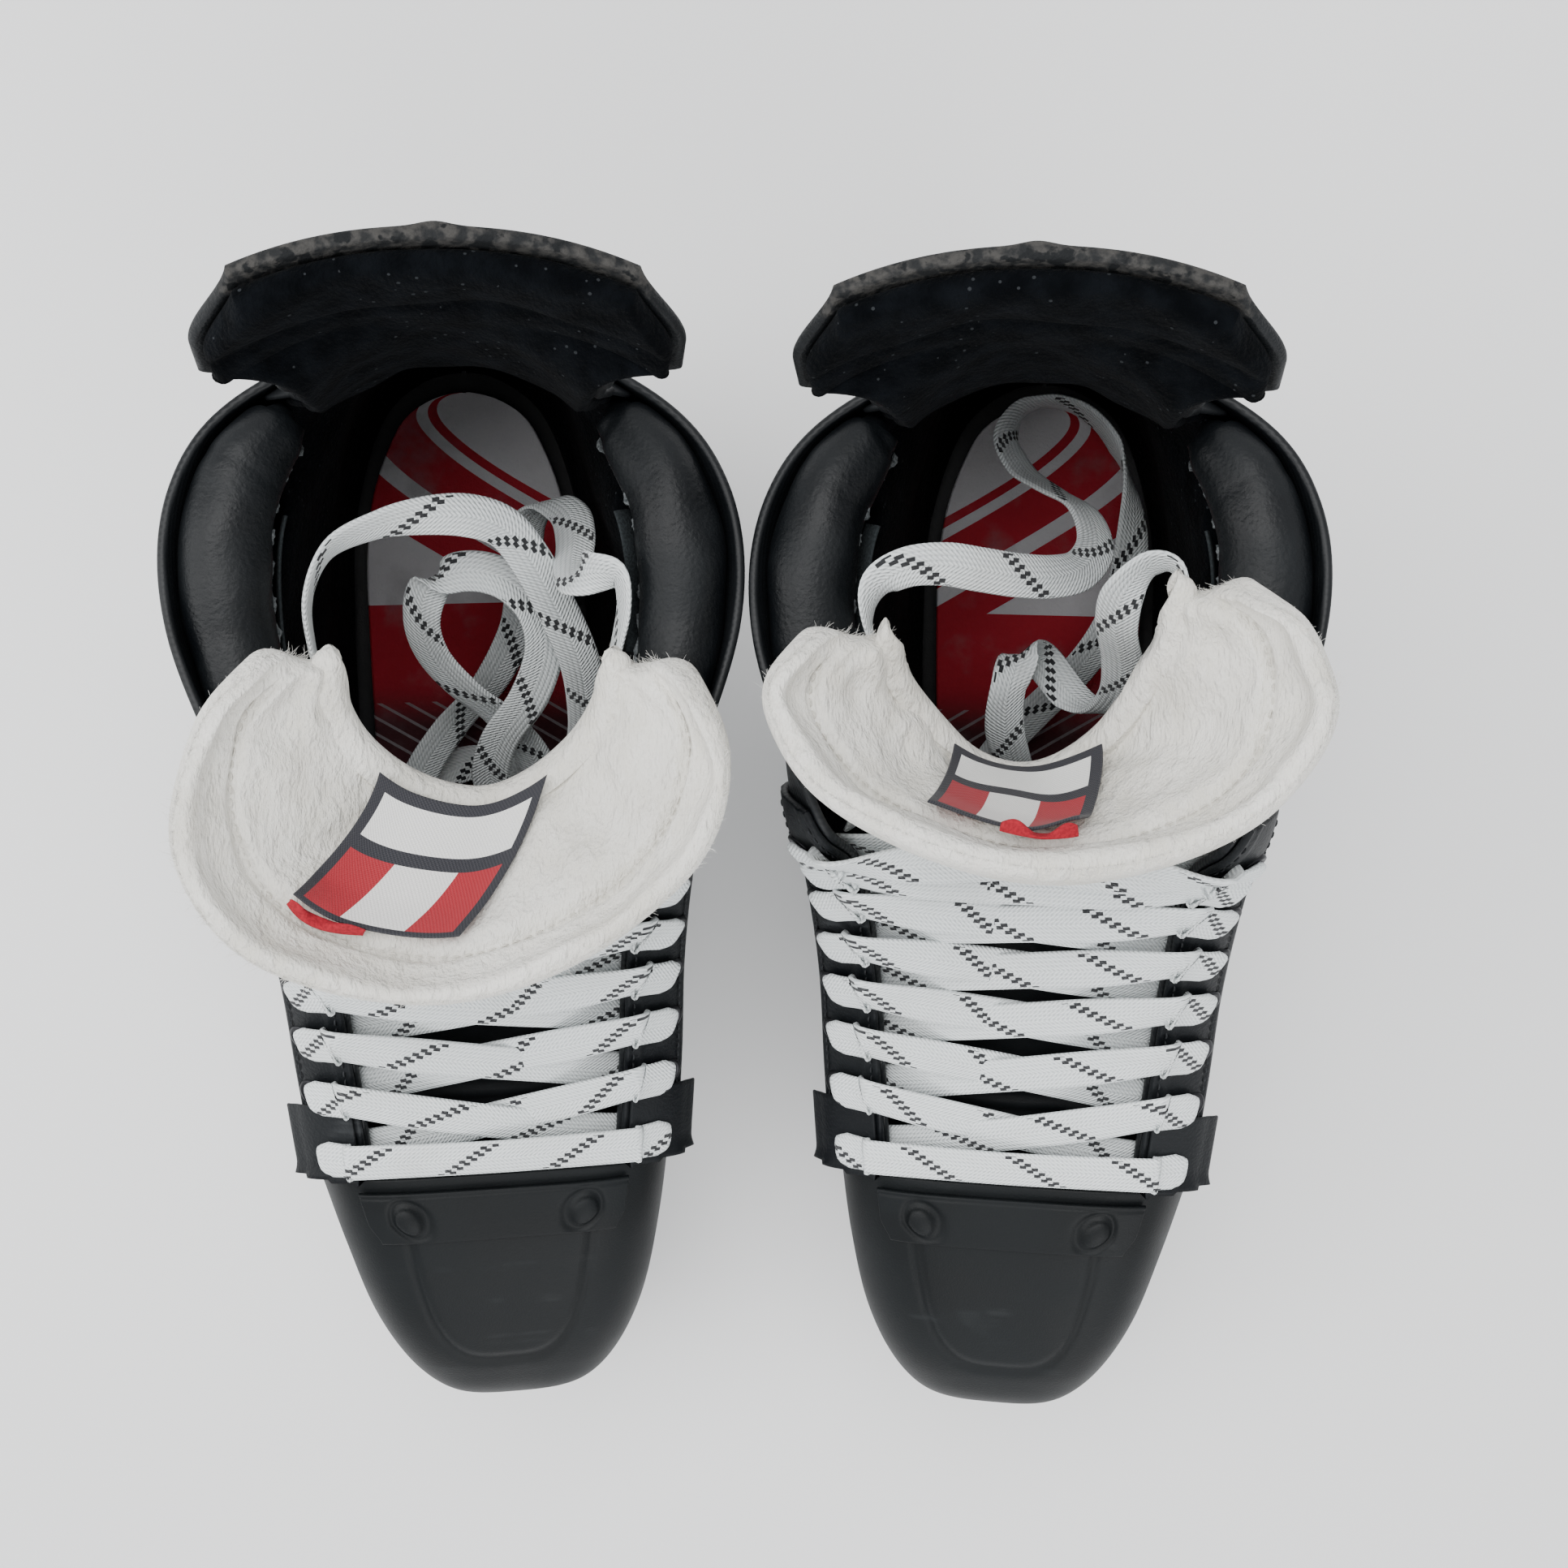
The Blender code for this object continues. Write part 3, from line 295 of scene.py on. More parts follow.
def ripple(x, y, seed, scale):
    """A soft repeatable unevenness, about -1 to 1, with waves about scale long."""
    total = 0.0
    for k in range(5):
        turn = seed * 1.7 + k * 2.39996
        wave = (0.7 + 0.23 * k) * 2 * math.pi / scale
        total = total + np.sin(wave * (x * math.cos(turn) + y * math.sin(turn)) + seed * (k + 1))
    return total / 3


# ---------------------------------------------------------------- making pieces
def skate_matrix(side):
    sign = 1 if side == "right" else -1
    place = Vector((-sign * STANCE_HALF, 0.0 if side == "right" else -LEFT_AHEAD, 0)) + PAIR_SHIFT
    turn = Euler((0, sign * math.radians(LEAN_DEG), sign * math.radians(TOE_IN_DEG)))
    return Matrix.Translation(place * MM) @ turn.to_matrix().to_4x4() @ Matrix.Diagonal((sign, 1, 1, 1))


MATRICES = {side: skate_matrix(side) for side in SIDES}


def in_frame(side, points):
    """Points in a skate's frame, in millimetres, as points in the row frame, in metres."""
    matrix = np.array(MATRICES[side])
    return np.asarray(points, float) @ (matrix[:3, :3].T * MM) + matrix[:3, 3]


def piece(name, side, points, faces, lay, finish, slot, body="skate", stands_for=()):
    """An object from points, faces and lay, a point attribute that its material reads."""
    mesh = bpy.data.meshes.new(name)
    mesh.from_pydata(in_frame(side, points).tolist(), [], [tuple(int(k) for k in face) for face in faces])
    drawn = mesh.attributes.new("lay", "FLOAT_VECTOR", "POINT")
    drawn.data.foreach_set("vector", np.asarray(lay, np.float32).ravel())
    shape = bmesh.new()
    shape.from_mesh(mesh)
    bmesh.ops.remove_doubles(shape, verts=shape.verts, dist=2e-6)
    bmesh.ops.dissolve_degenerate(shape, edges=shape.edges, dist=1e-7)
    bmesh.ops.recalc_face_normals(shape, faces=shape.faces)
    shape.to_mesh(mesh)
    shape.free()
    mesh.shade_smooth()
    mesh.materials.append(finish)
    made = bpy.data.objects.new(name, mesh)
    bpy.context.scene.collection.objects.link(made)
    if body:
        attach(made, f"{side}_{body}")
    if stands_for:
        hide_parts(*stands_for)
    return made


def grid_faces(rows, columns, start=0, closed=False):
    """Quads over a grid of points stored row by row; closed joins the last column to the first."""
    faces = []
    for i in range(rows - 1):
        for j in range(columns if closed else columns - 1):
            k = (j + 1) % columns
            faces.append((start + i * columns + j, start + i * columns + k,
                          start + (i + 1) * columns + k, start + (i + 1) * columns + j))
    return faces


def spaced(length, edge, count):
    """Shares from 0 to 1: close together within edge of both ends, and even between."""
    near = [edge * step / length for step in (0.0, 0.08, 0.3, 0.62)]
    middle = np.linspace(edge / length, 1 - edge / length, count)
    return np.concatenate([near, middle, [1 - k for k in reversed(near)]])


def slab(name, side, place, size, thick, edge, cells, finish, slot, relief=None, lay=None, **more):
    """A sheet with rounded edges. place(u, v, inset) gives its face for u, v from 0 to 1, size is about its length
    each way, and relief(u, v) raises that face."""
    u, v = np.meshgrid(spaced(size[0], edge, cells[0]), spaced(size[1], edge, cells[1]), indexing="ij")
    near = np.minimum(np.minimum(u, 1 - u) * size[0], np.minimum(v, 1 - v) * size[1])
    swell = np.sqrt(np.clip(1 - (1 - np.minimum(near / edge, 1)) ** 2, 0, 1))
    thick = thick(u, v) if callable(thick) else thick
    raised = (relief(u, v) if relief else 0.0) * swell
    top = place(u, v, thick / 2 * (1 - swell) - raised)
    bottom = place(u, v, thick / 2 * (1 + swell))
    rows, columns = u.shape
    shown = lay(u, v) if lay else (u * size[0], v * size[1])
    marks = [np.stack([shown[0], shown[1], np.full_like(u, face)], axis=-1).reshape(-1, 3) for face in (1.0, -1.0)]
    faces = grid_faces(rows, columns) + [f[::-1] for f in grid_faces(rows, columns, rows * columns)]
    points = np.concatenate([top.reshape(-1, 3), bottom.reshape(-1, 3)])
    return piece(name, side, points, faces, np.concatenate(marks), finish, slot, **more)


def sweep(name, side, rings, marks, finish, slot, **more):
    """A closed tube through rings of points, each ring with the same number of points."""
    count, around = rings.shape[:2]
    faces = grid_faces(count, around, closed=True)
    faces += [tuple(range(around))[::-1], tuple((count - 1) * around + k for k in range(around))]
    return piece(name, side, rings.reshape(-1, 3), faces, marks.reshape(-1, 3), finish, slot, **more)


def lengths_along(route):
    return np.concatenate([[0.0], np.cumsum(np.linalg.norm(np.diff(route, axis=0), axis=1))])


def directions(route):
    ahead = np.empty_like(route)
    ahead[1:-1] = route[2:] - route[:-2]
    ahead[0], ahead[-1] = route[1] - route[0], route[-1] - route[-2]
    return unit(ahead)


def tube(name, side, route, radius, finish, slot, around=16, up=(0, 0, 1), flat=1.0, relief=None, **more):
    """A round or flattened tube; radius may change along it, and its ends close to rounded points."""
    route = np.asarray(route, float)
    s, ahead = lengths_along(route), directions(route)
    side_way = unit(np.cross(ahead, up))
    over = np.cross(side_way, ahead)
    turn = np.linspace(0, 2 * math.pi, around, endpoint=False)
    radius = np.broadcast_to(radius, s.shape)
    swell = np.sqrt(np.clip(1 - (1 - np.minimum(np.minimum(s, s[-1] - s) / radius, 1)) ** 2, 0.0004, 1))
    reach = (radius * swell)[:, None] * np.ones(around)
    if relief:
        reach = reach + relief(s[:, None], turn[None, :]) * swell[:, None]
    rings = (route[:, None] + side_way[:, None] * (reach * np.cos(turn))[..., None]
             + over[:, None] * (reach * flat * np.sin(turn))[..., None])
    marks = np.stack([s[:, None] * np.ones(around), np.ones(len(s))[:, None] * turn, reach], axis=-1)
    return sweep(name, side, rings, marks, finish, slot, **more)


def band(name, side, route, width_ways, half, finish, slot, thick=LACE_T / 2, bulk=None, **more):
    """A flat braid with soft edges. half is its half width at each point and bulk thickens it where it is gathered."""
    around = 14
    s, ahead = lengths_along(route), directions(route)
    wide = unit(width_ways - ahead * np.sum(width_ways * ahead, axis=1, keepdims=True))
    thin = np.cross(ahead, wide)
    turn = np.linspace(0, 2 * math.pi, around, endpoint=False)
    out = np.copysign(np.abs(np.cos(turn)) ** 0.62, np.cos(turn))
    lift = np.copysign(np.abs(np.sin(turn)) ** 0.8, np.sin(turn))
    half = np.broadcast_to(half, s.shape)
    depth = thick * (np.ones(len(s)) if bulk is None else bulk)
    rings = (route[:, None] + wide[:, None] * (half[:, None] * out)[..., None]
             + thin[:, None] * (depth[:, None] * lift)[..., None])
    marks = np.stack([s[:, None] * np.ones(around), half[:, None] * out,
                      np.ones(len(s))[:, None] * np.sign(lift + 1e-9)], axis=-1)
    return sweep(name, side, rings, marks, finish, slot, **more)


# ---------------------------------------------------------------- materials
class Value:
    """A number or colour that varies over a surface, so that node arithmetic reads as arithmetic."""

    def __init__(self, tree, socket):
        self.tree, self.socket = tree, socket

    def _(self, operation, *others):
        node = self.tree.nodes.new("ShaderNodeMath")
        node.operation = operation
        for slot, value in zip(node.inputs, (self, *others)):
            if isinstance(value, Value):
                self.tree.links.new(value.socket, slot)
            else:
                slot.default_value = value
        return Value(self.tree, node.outputs[0])

    def __add__(self, other): return self._("ADD", other)
    def __sub__(self, other): return self._("SUBTRACT", other)
    def __mul__(self, other): return self._("MULTIPLY", other)
    def __truediv__(self, other): return self._("DIVIDE", other)
    def below(self, other): return self._("LESS_THAN", other)
    def above(self, other): return self._("GREATER_THAN", other)
    def least(self, other): return self._("MINIMUM", other)
    def most(self, other): return self._("MAXIMUM", other)
    def fold(self, size): return self._("PINGPONG", size)
    def wrap(self, size): return self._("FLOORED_MODULO", size)
    def size(self): return self._("ABSOLUTE")
    def floor(self): return self._("FLOOR")
    def sine(self): return self._("SINE")
    def power(self, other): return self._("POWER", other)
    def flip(self): return self * -1.0 + 1.0

    def ramp(self, low, high, to_low=0.0, to_high=1.0):
        node = self.tree.nodes.new("ShaderNodeMapRange")
        node.interpolation_type = "SMOOTHSTEP"
        for slot, value in zip(node.inputs, (self, low, high, to_low, to_high)):
            if isinstance(value, Value):
                self.tree.links.new(value.socket, slot)
            else:
                slot.default_value = value
        return Value(self.tree, node.outputs[0])


class Finish:
    """A material on a Principled shader, with short names for the nodes that these pieces use."""

    def __init__(self, name, roughness=0.5, **sockets):
        self.made = bpy.data.materials.new(name)
        self.made.use_nodes = True
        self.tree = self.made.node_tree
        self.shader = self.tree.nodes["Principled BSDF"]
        self.shader.inputs["Roughness"].default_value = roughness
        for socket, value in sockets.items():
            self.shader.inputs[socket.replace("_", " ")].default_value = value
        self.coordinates = self.tree.nodes.new("ShaderNodeTexCoord").outputs["Object"]

    def lay(self):
        """The piece's own surface coordinates: along, across and face."""
        node = self.tree.nodes.new("ShaderNodeAttribute")
        node.attribute_name = "lay"
        split = self.tree.nodes.new("ShaderNodeSeparateXYZ")
        self.tree.links.new(node.outputs["Vector"], split.inputs[0])
        return [Value(self.tree, socket) for socket in split.outputs]

    def spot(self):
        split = self.tree.nodes.new("ShaderNodeSeparateXYZ")
        self.tree.links.new(self.coordinates, split.inputs[0])
        return [Value(self.tree, socket) for socket in split.outputs]

    def join(self, x, y, z=0.0):
        node = self.tree.nodes.new("ShaderNodeCombineXYZ")
        for slot, value in zip(node.inputs, (x, y, z)):
            if isinstance(value, Value):
                self.tree.links.new(value.socket, slot)
            else:
                slot.default_value = value
        return node.outputs[0]

    def noise(self, size, detail=3.0, stretch=None, where=None):
        """Noise from about 0.25 to 0.75, with features about size metres (or units of where) across."""
        node = self.tree.nodes.new("ShaderNodeTexNoise")
        node.inputs["Scale"].default_value = 1.0 / size
        node.inputs["Detail"].default_value = detail
        source = where or self.coordinates
        if stretch:
            mapping = self.tree.nodes.new("ShaderNodeMapping")
            mapping.inputs["Scale"].default_value = stretch
            self.tree.links.new(source, mapping.inputs["Vector"])
            source = mapping.outputs[0]
        self.tree.links.new(source, node.inputs["Vector"])
        return Value(self.tree, node.outputs[0])

    def cells(self, size, feature="F1", where=None):
        node = self.tree.nodes.new("ShaderNodeTexVoronoi")
        node.feature = feature
        node.inputs["Scale"].default_value = 1.0 / size
        self.tree.links.new(where or self.coordinates, node.inputs["Vector"])
        return Value(self.tree, node.outputs["Distance"])

    def mix(self, share, low, high):
        node = self.tree.nodes.new("ShaderNodeMix")
        node.data_type = "RGBA"
        self.tree.links.new(share.socket, node.inputs[0])
        for slot, value in ((node.inputs[6], low), (node.inputs[7], high)):
            if isinstance(value, Value):
                self.tree.links.new(value.socket, slot)
            else:
                slot.default_value = (*value, 1.0)
        return Value(self.tree, node.outputs[2])

    def colour(self, value):
        self.tree.links.new(value.socket, self.shader.inputs["Base Color"])
        return self

    def roughness(self, value):
        self.tree.links.new(value.socket, self.shader.inputs["Roughness"])
        return self

    def metallic(self, value):
        self.tree.links.new(value.socket, self.shader.inputs["Metallic"])
        return self

    def bump(self, height, depth):
        """height from 0 to 1, worth depth metres."""
        node = self.tree.nodes.new("ShaderNodeBump")
        node.inputs["Strength"].default_value = 1.0
        node.inputs["Distance"].default_value = depth
        self.tree.links.new(height.socket, node.inputs["Height"])
        self.tree.links.new(node.outputs[0], self.shader.inputs["Normal"])
        return self


TRACER_TURN = 27.0  # the tracer yarn goes once round the lace in this length, in millimetres


def lace_finish():
    """White flat braid with a herringbone of yarns and a pair of rows of black tracer dashes across each face."""
    made = Finish("lace_braid", 0.85, Sheen_Weight=0.15, Sheen_Roughness=0.6)
    along, across, face = made.lay()
    half = LACE_W / 2
    # Yarns run diagonally towards each edge and meet along the middle.
    chevron = (along * 1.0 + across.size() * 1.1) * (2 * math.pi / 1.15)
    yarn = (chevron.sine() * 0.5 + 0.5).power(0.6)
    strand = ((across * (2 * math.pi / 1.22)).sine() * 0.5 + 0.5).power(0.5)
    weave = yarn * 0.55 + strand * 0.45
    pitch = 1.36
    dashes = None
    for row in (0.0, 2.1):
        shift = pitch / 2 if row else 0.0
        cell = ((across + half + shift) / pitch).floor() * pitch + (pitch / 2 - shift)  # the dash's place from an edge
        front = cell * (TRACER_TURN / 2 / LACE_W) + row
        back = cell * (-TRACER_TURN / 2 / LACE_W) + (TRACER_TURN + row)
        on_face = face.above(0.0)
        centre = front * on_face + back * on_face.flip()
        near_s = ((along - centre + TRACER_TURN / 2).wrap(TRACER_TURN) - TRACER_TURN / 2).size().below(0.85)
        near_c = (across + half - cell).size().below(0.52)
        mark = near_s * near_c
        dashes = mark if dashes is None else dashes.most(mark)
    dashes = dashes * across.size().below(half * 0.93)
    dirt = made.noise(0.02, 4).ramp(0.45, 0.75)
    white = made.mix(weave, (0.60, 0.64, 0.65), (0.88, 0.92, 0.92))
    white = made.mix(dirt * 0.25, white, (0.55, 0.56, 0.53))
    fuzz = made.noise(0.0004, 2)
    made.colour(made.mix(dashes, white, (0.012, 0.013, 0.016)))
    return made.bump(weave * 0.8 + fuzz * 0.3, 0.00045).made


def white_felt_finish():
    made = Finish("wool_felt", 0.95, Sheen_Weight=0.25, Sheen_Roughness=0.6)
    cloud = made.noise(0.022, 4).ramp(0.3, 0.7)
    mottle = made.noise(0.003, 5, stretch=(1, 0.6, 1)).ramp(0.3, 0.75)
    fibre = made.noise(0.0007, 4, stretch=(1, 0.35, 1))
    worn = made.noise(0.05, 2).ramp(0.55, 0.7)
    base = made.mix(cloud, (0.70, 0.675, 0.60), (0.84, 0.82, 0.76))
    base = made.mix(mottle * 0.4, base, (0.90, 0.89, 0.85))
    made.colour(made.mix(worn * 0.22, base, (0.70, 0.66, 0.58)))
    return made.bump(mottle * 0.6 + fibre * 0.7, 0.0011).made


def black_felt_finish(name="black_felt", lint=1.0):
    made = Finish(name, 1.0, Sheen_Weight=0.012, Sheen_Roughness=0.5, Specular_IOR_Level=0.04)
    fibre = made.noise(0.0008, 4, stretch=(1, 1, 0.4))
    clump = made.noise(0.006, 4)
    specks = made.cells(0.0026).below(0.13 * lint) * made.noise(0.011, 2).above(0.52)
    base = made.mix(clump.ramp(0.3, 0.75), (0.0012, 0.0016, 0.0022), (0.0042, 0.0052, 0.0068))
    made.colour(made.mix(specks * 0.5, base, (0.05, 0.055, 0.06)))
    return made.bump(fibre * 0.7 + clump * 0.6, 0.0010).made


def leather_finish():
    made = Finish("collar_leather", 0.45, Specular_IOR_Level=0.30)
    grain = made.cells(0.0011, "SMOOTH_F1")
    pores = made.noise(0.0005, 3)
    broad = made.noise(0.018, 3).ramp(0.3, 0.7)
    made.colour(made.mix(broad, (0.0018, 0.0026, 0.0036), (0.0050, 0.0066, 0.0080)))
    made.roughness(broad * 0.14 + pores * 0.12 + 0.36)
    return made.bump(grain * 0.5 + pores * 0.4, 0.00022).made


def plastic_finish(name, dark, light, rough, scuff=(0.10, 0.105, 0.11), amount=0.25, grain=0.0005, depth=0.00008,
                   shine=0.22):
    """Moulded plastic: fine spark-eroded grain, cloudy gloss and a few scuffs."""
    made = Finish(name, rough, Specular_IOR_Level=shine)
    fine = made.noise(grain, 3)
    broad = made.noise(0.03, 3).ramp(0.3, 0.7)
    scratch = made.noise(0.02, 5, stretch=(0.25, 3.0, 1.2)).ramp(0.60, 0.72) * made.noise(0.012, 2).ramp(0.45, 0.65)
    base = made.mix(broad, dark, light)
    made.colour(made.mix(scratch * amount, base, scuff))
    made.roughness(broad * 0.10 + fine * 0.10 + (rough - 0.10))
    return made.bump(fine + scratch * 0.4, depth).made


def guard_finish():
    """The tendon guard's plastic, worn grey and brown along its top edge."""
    made = Finish("guard_plastic", 0.6, Specular_IOR_Level=0.25)
    across, up, _ = made.lay()
    fine = made.noise(0.0006, 4)
    patch = made.noise(0.004, 5)
    near_top = (up - 0.93 + (patch - 0.5) * 0.10).ramp(0.0, 0.03)
    tint = made.mix(made.noise(0.002, 4).ramp(0.35, 0.65), (0.012, 0.013, 0.014), (0.050, 0.048, 0.045))
    tint = made.mix(made.noise(0.0035, 4).ramp(0.55, 0.62), tint, (0.006, 0.007, 0.008))
    base = made.mix(patch.ramp(0.3, 0.7), (0.0035, 0.0045, 0.0055), (0.0080, 0.0095, 0.0110))
    made.colour(made.mix(near_top, base, tint))
    made.roughness(near_top * 0.25 + fine * 0.1 + 0.5)
    return made.bump(fine * 0.5 + near_top * patch * 1.5, 0.0006).made


def quarter_finish():
    """The side wall: a silver panel with a fine diamond mesh, black round the collar, heel and sole edge."""
    made = Finish("quarter_panel", 0.4, Specular_IOR_Level=0.3)
    a, v, _ = made.lay()
    collar = (v - 0.86 + (a - 3.2).most(0.0) * 0.11).ramp(0.0, 0.012)
    heel_cup = (a - 6.3 + v * 0.9).ramp(0.0, 0.05) * (v * -1 + 0.62).ramp(0.0, 0.012)
    foot = (v * -1 + 0.10 + (a * 0.9).sine() * 0.02).ramp(0.0, 0.008)
    stripe = ((a * 0.9 + v * 2.4 - 4.4).size() * -1 + 0.17).ramp(0.0, 0.02) * (v - 0.16).ramp(0, 0.01)
    black = collar.most(heel_cup).most(foot).most(stripe)
    x, y, z = made.spot()
    diamond = ((y + z) * 2100.0).sine() * ((y - z) * 2100.0).sine()
    silver = made.mix(diamond * 0.5 + 0.5, (0.42, 0.44, 0.44), (0.62, 0.64, 0.63))
    silver = made.mix(made.noise(0.03, 3).ramp(0.3, 0.7) * 0.3, silver, (0.36, 0.38, 0.38))
    dark = made.mix(made.noise(0.02, 3).ramp(0.3, 0.7), (0.0035, 0.0045, 0.0055), (0.0085, 0.0100, 0.0115))
    made.colour(made.mix(black, silver, dark))
    made.roughness(black * 0.12 + made.noise(0.001, 3) * 0.12 + 0.27)
    return made.bump(diamond * 0.3 + black * 1.6, 0.00015).made


def insole_finish():
    """The footbed's print: white heel crossed by red and white slanting bands, then red, then fine slanting lines.
    Towards the toe it is darkened with painted shade, where the boot covers it.
    """
    made = Finish("insole_cloth", 0.8)
    across, along, _ = made.lay()  # across -1 - 1, along in the skate's Y
    slant = along + across * 17.0
    red = (0.42, 0.006, 0.022)
    white = (0.62, 0.61, 0.63)
    band_1 = (slant - 101.0).size().below(6.5)
    band_2 = (slant - 84.5).size().below(5.0)
    band_3 = (slant - 112.5).size().below(1.5)
    lower = along.below(71.0)
    print_red = band_1.most(band_2).most(band_3).most(lower)
    lines = (slant.wrap(4.6).below(0.9)) * along.below(44.0) * along.above(-20.0)
    # painted shade: darker towards the toe, where the boot's front and tongue shade the footbed
    dark = along.ramp(52.0, 36.0)
    weave = made.noise(0.0006, 2)
    base = made.mix(print_red, white, red)
    # mixes in the painted shade, dark red towards the toe
    base = made.mix(dark, base, (0.05, 0.006, 0.010))
    base = made.mix(lines * 0.7, base, (0.30, 0.28, 0.29))
    worn = made.noise(0.014, 4).ramp(0.5, 0.75)
    made.colour(made.mix(worn * 0.35, base, (0.20, 0.19, 0.20)))
    return made.bump(weave, 0.0003).made


def label_finish():
    """The woven label: black border, a plain white panel above and red, white and red panels below."""
    made = Finish("label_weave", 0.7, Sheen_Weight=0.1)
    across, along, _ = made.lay()  # both 0 - 1; along 0 at the fold
    warp = ((across * 330.0).sine() * (along * 260.0).sine()) * 0.5 + 0.5
    inside = (across - 0.5).size().below(0.435)
    upper = inside * along.above(0.09) * along.below(0.40)
    lower = inside * along.above(0.50) * along.below(0.965)
    middle = (across - 0.5).size().below(0.165)
    black = (0.009, 0.011, 0.018)
    base = made.mix(upper, black, (0.82, 0.82, 0.80))
    base = made.mix(lower, base, (0.36, 0.003, 0.014))
    base = made.mix(lower * middle, base, (0.80, 0.79, 0.77))
    made.colour(made.mix(warp * 0.10, base, (0.25, 0.22, 0.22)))
    return made.bump(warp, 0.00012).made


def metal_finish(name, low, high, rough, brushed=(1, 30, 1), depth=0.00002):
    made = Finish(name, rough, Metallic=1.0)
    lines = made.noise(0.004, 4, stretch=brushed)
    cloud = made.noise(0.02, 3).ramp(0.3, 0.7)
    made.colour(made.mix(cloud * 0.5 + lines * 0.5, low, high))
    made.roughness(lines * 0.2 + (rough - 0.1))
    return made.bump(lines, depth).made


def thread_finish(name, low, high):
    made = Finish(name, 0.9)
    ply = made.noise(0.0006, 3)
    made.colour(made.mix(ply.ramp(0.3, 0.7), low, high))
    return made.bump(ply, 0.0003).made


FINISH = {
    "lace": lace_finish(),
    "white_felt": white_felt_finish(),
    "black_felt": black_felt_finish(),
    "leather": leather_finish(),
    "cap": plastic_finish("toe_cap_plastic", (0.0024, 0.0034, 0.0040), (0.0046, 0.0062, 0.0072), 0.55,
                          scuff=(0.03, 0.034, 0.036)),
    "eyestay": plastic_finish("eyestay_composite", (0.0030, 0.0040, 0.0055), (0.0075, 0.0090, 0.0105), 0.55, grain=0.0009,
                              depth=0.0002),
    "facing": plastic_finish("tongue_skin", (0.0025, 0.0035, 0.0045), (0.0065, 0.0078, 0.0090), 0.65),
    "guard": guard_finish(),
    "guard_base": plastic_finish("guard_base_plastic", (0.0035, 0.0045, 0.0055), (0.0075, 0.009, 0.0105), 0.62),
    "quarter": quarter_finish(),
    "insole": insole_finish(),
    "label": label_finish(),
    "outsole": plastic_finish("outsole_composite", (0.008, 0.0085, 0.0095), (0.016, 0.0165, 0.018), 0.42),
    "holder": plastic_finish("holder_plastic", (0.74, 0.75, 0.76), (0.84, 0.85, 0.85), 0.38, scuff=(0.35, 0.35, 0.36),
                             amount=0.5, shine=0.4),
    "steel": metal_finish("runner_steel", (0.50, 0.51, 0.53), (0.68, 0.69, 0.71), 0.26),
    "bolt": metal_finish("bolt_steel", (0.38, 0.38, 0.39), (0.55, 0.55, 0.56), 0.38, (1, 1, 1)),
    "copper": metal_finish("copper", (0.52, 0.26, 0.15), (0.70, 0.40, 0.25), 0.38, (1, 1, 1)),
    "ring": metal_finish("eyelet_ring", (0.02, 0.02, 0.022), (0.06, 0.06, 0.065), 0.42, (1, 1, 1)),
    "seam": thread_finish("frayed_seam", (0.030, 0.036, 0.038), (0.13, 0.14, 0.145)),
    "strip": thread_finish("collar_strip", (0.009, 0.013, 0.015), (0.024, 0.031, 0.034)),
    "stitch": thread_finish("stitch_thread", (0.006, 0.007, 0.009), (0.022, 0.025, 0.028)),
    "felt_stitch": thread_finish("felt_stitch", (0.55, 0.53, 0.47), (0.72, 0.70, 0.64)),
    "fuzz": thread_finish("wool_fuzz", (0.78, 0.77, 0.72), (0.90, 0.89, 0.86)),
    "red_cloth": thread_finish("label_red", (0.26, 0.003, 0.012), (0.40, 0.008, 0.022)),
}


# ---------------------------------------------------------------- small repeated shapes
def rings_mesh(rings):
    """Points and faces of a closed tube through rings, with its own fans at the ends."""
    count, around = rings.shape[:2]
    faces = grid_faces(count, around, closed=True)
    return rings.reshape(-1, 3), faces + [tuple(range(around))[::-1],
                                          tuple((count - 1) * around + k for k in range(around))]


def joined(parts):
    """Several (points, faces) as one, with a lay value that numbers them."""
    points, faces, lay, start = [], [], [], 0
    for number, (some, fans) in enumerate(parts):
        points.append(some)
        faces += [tuple(start + k for k in face) for face in fans]
        lay.append(np.tile((number * 1.0, 0.0, 0.0), (len(some), 1)))
        start += len(some)
    return np.concatenate(points), faces, np.concatenate(lay)


def stitch(start, end, out, width):
    """One visible stitch: a short thread that dips at both ends."""
    ahead = unit(end - start)
    across = np.cross(out, ahead)
    turn = np.linspace(0, 2 * math.pi, 6, endpoint=False)
    rings = []
    for share, fat, lift in ((0.0, 0.35, -0.25), (0.2, 0.9, 0.25), (0.5, 1.0, 0.4), (0.8, 0.9, 0.25), (1.0, 0.35, -0.25)):
        middle = start + (end - start) * share + out * width * lift
        rings.append([middle + (across * math.cos(t) + out * math.sin(t) * 0.8) * width * fat / 2 for t in turn])
    return rings_mesh(np.array(rings))


def stitch_row(name, side, place, line, pitch, width, finish, slot, **more):
    """Stitches along line(t) = (u, v) on a surface, a pitch apart, with gaps a third as long."""
    t = np.linspace(0, 1, 400)
    u, v = line(t)
    route, raised = place(u, v, 0.0), place(u, v, -1.0)
    s = lengths_along(route)
    parts = []
    for k in range(int(s[-1] / pitch)):
        start, end = ([np.interp(at, s, route[:, n]) for n in range(3)] for at in (k * pitch, (k + 0.72) * pitch))
        at = np.searchsorted(s, (k + 0.36) * pitch)
        parts.append(stitch(np.array(start), np.array(end), unit(raised[at] - route[at]), width))
    points, faces, lay = joined(parts)
    return piece(name, side, points, faces, lay, finish, slot, **more)


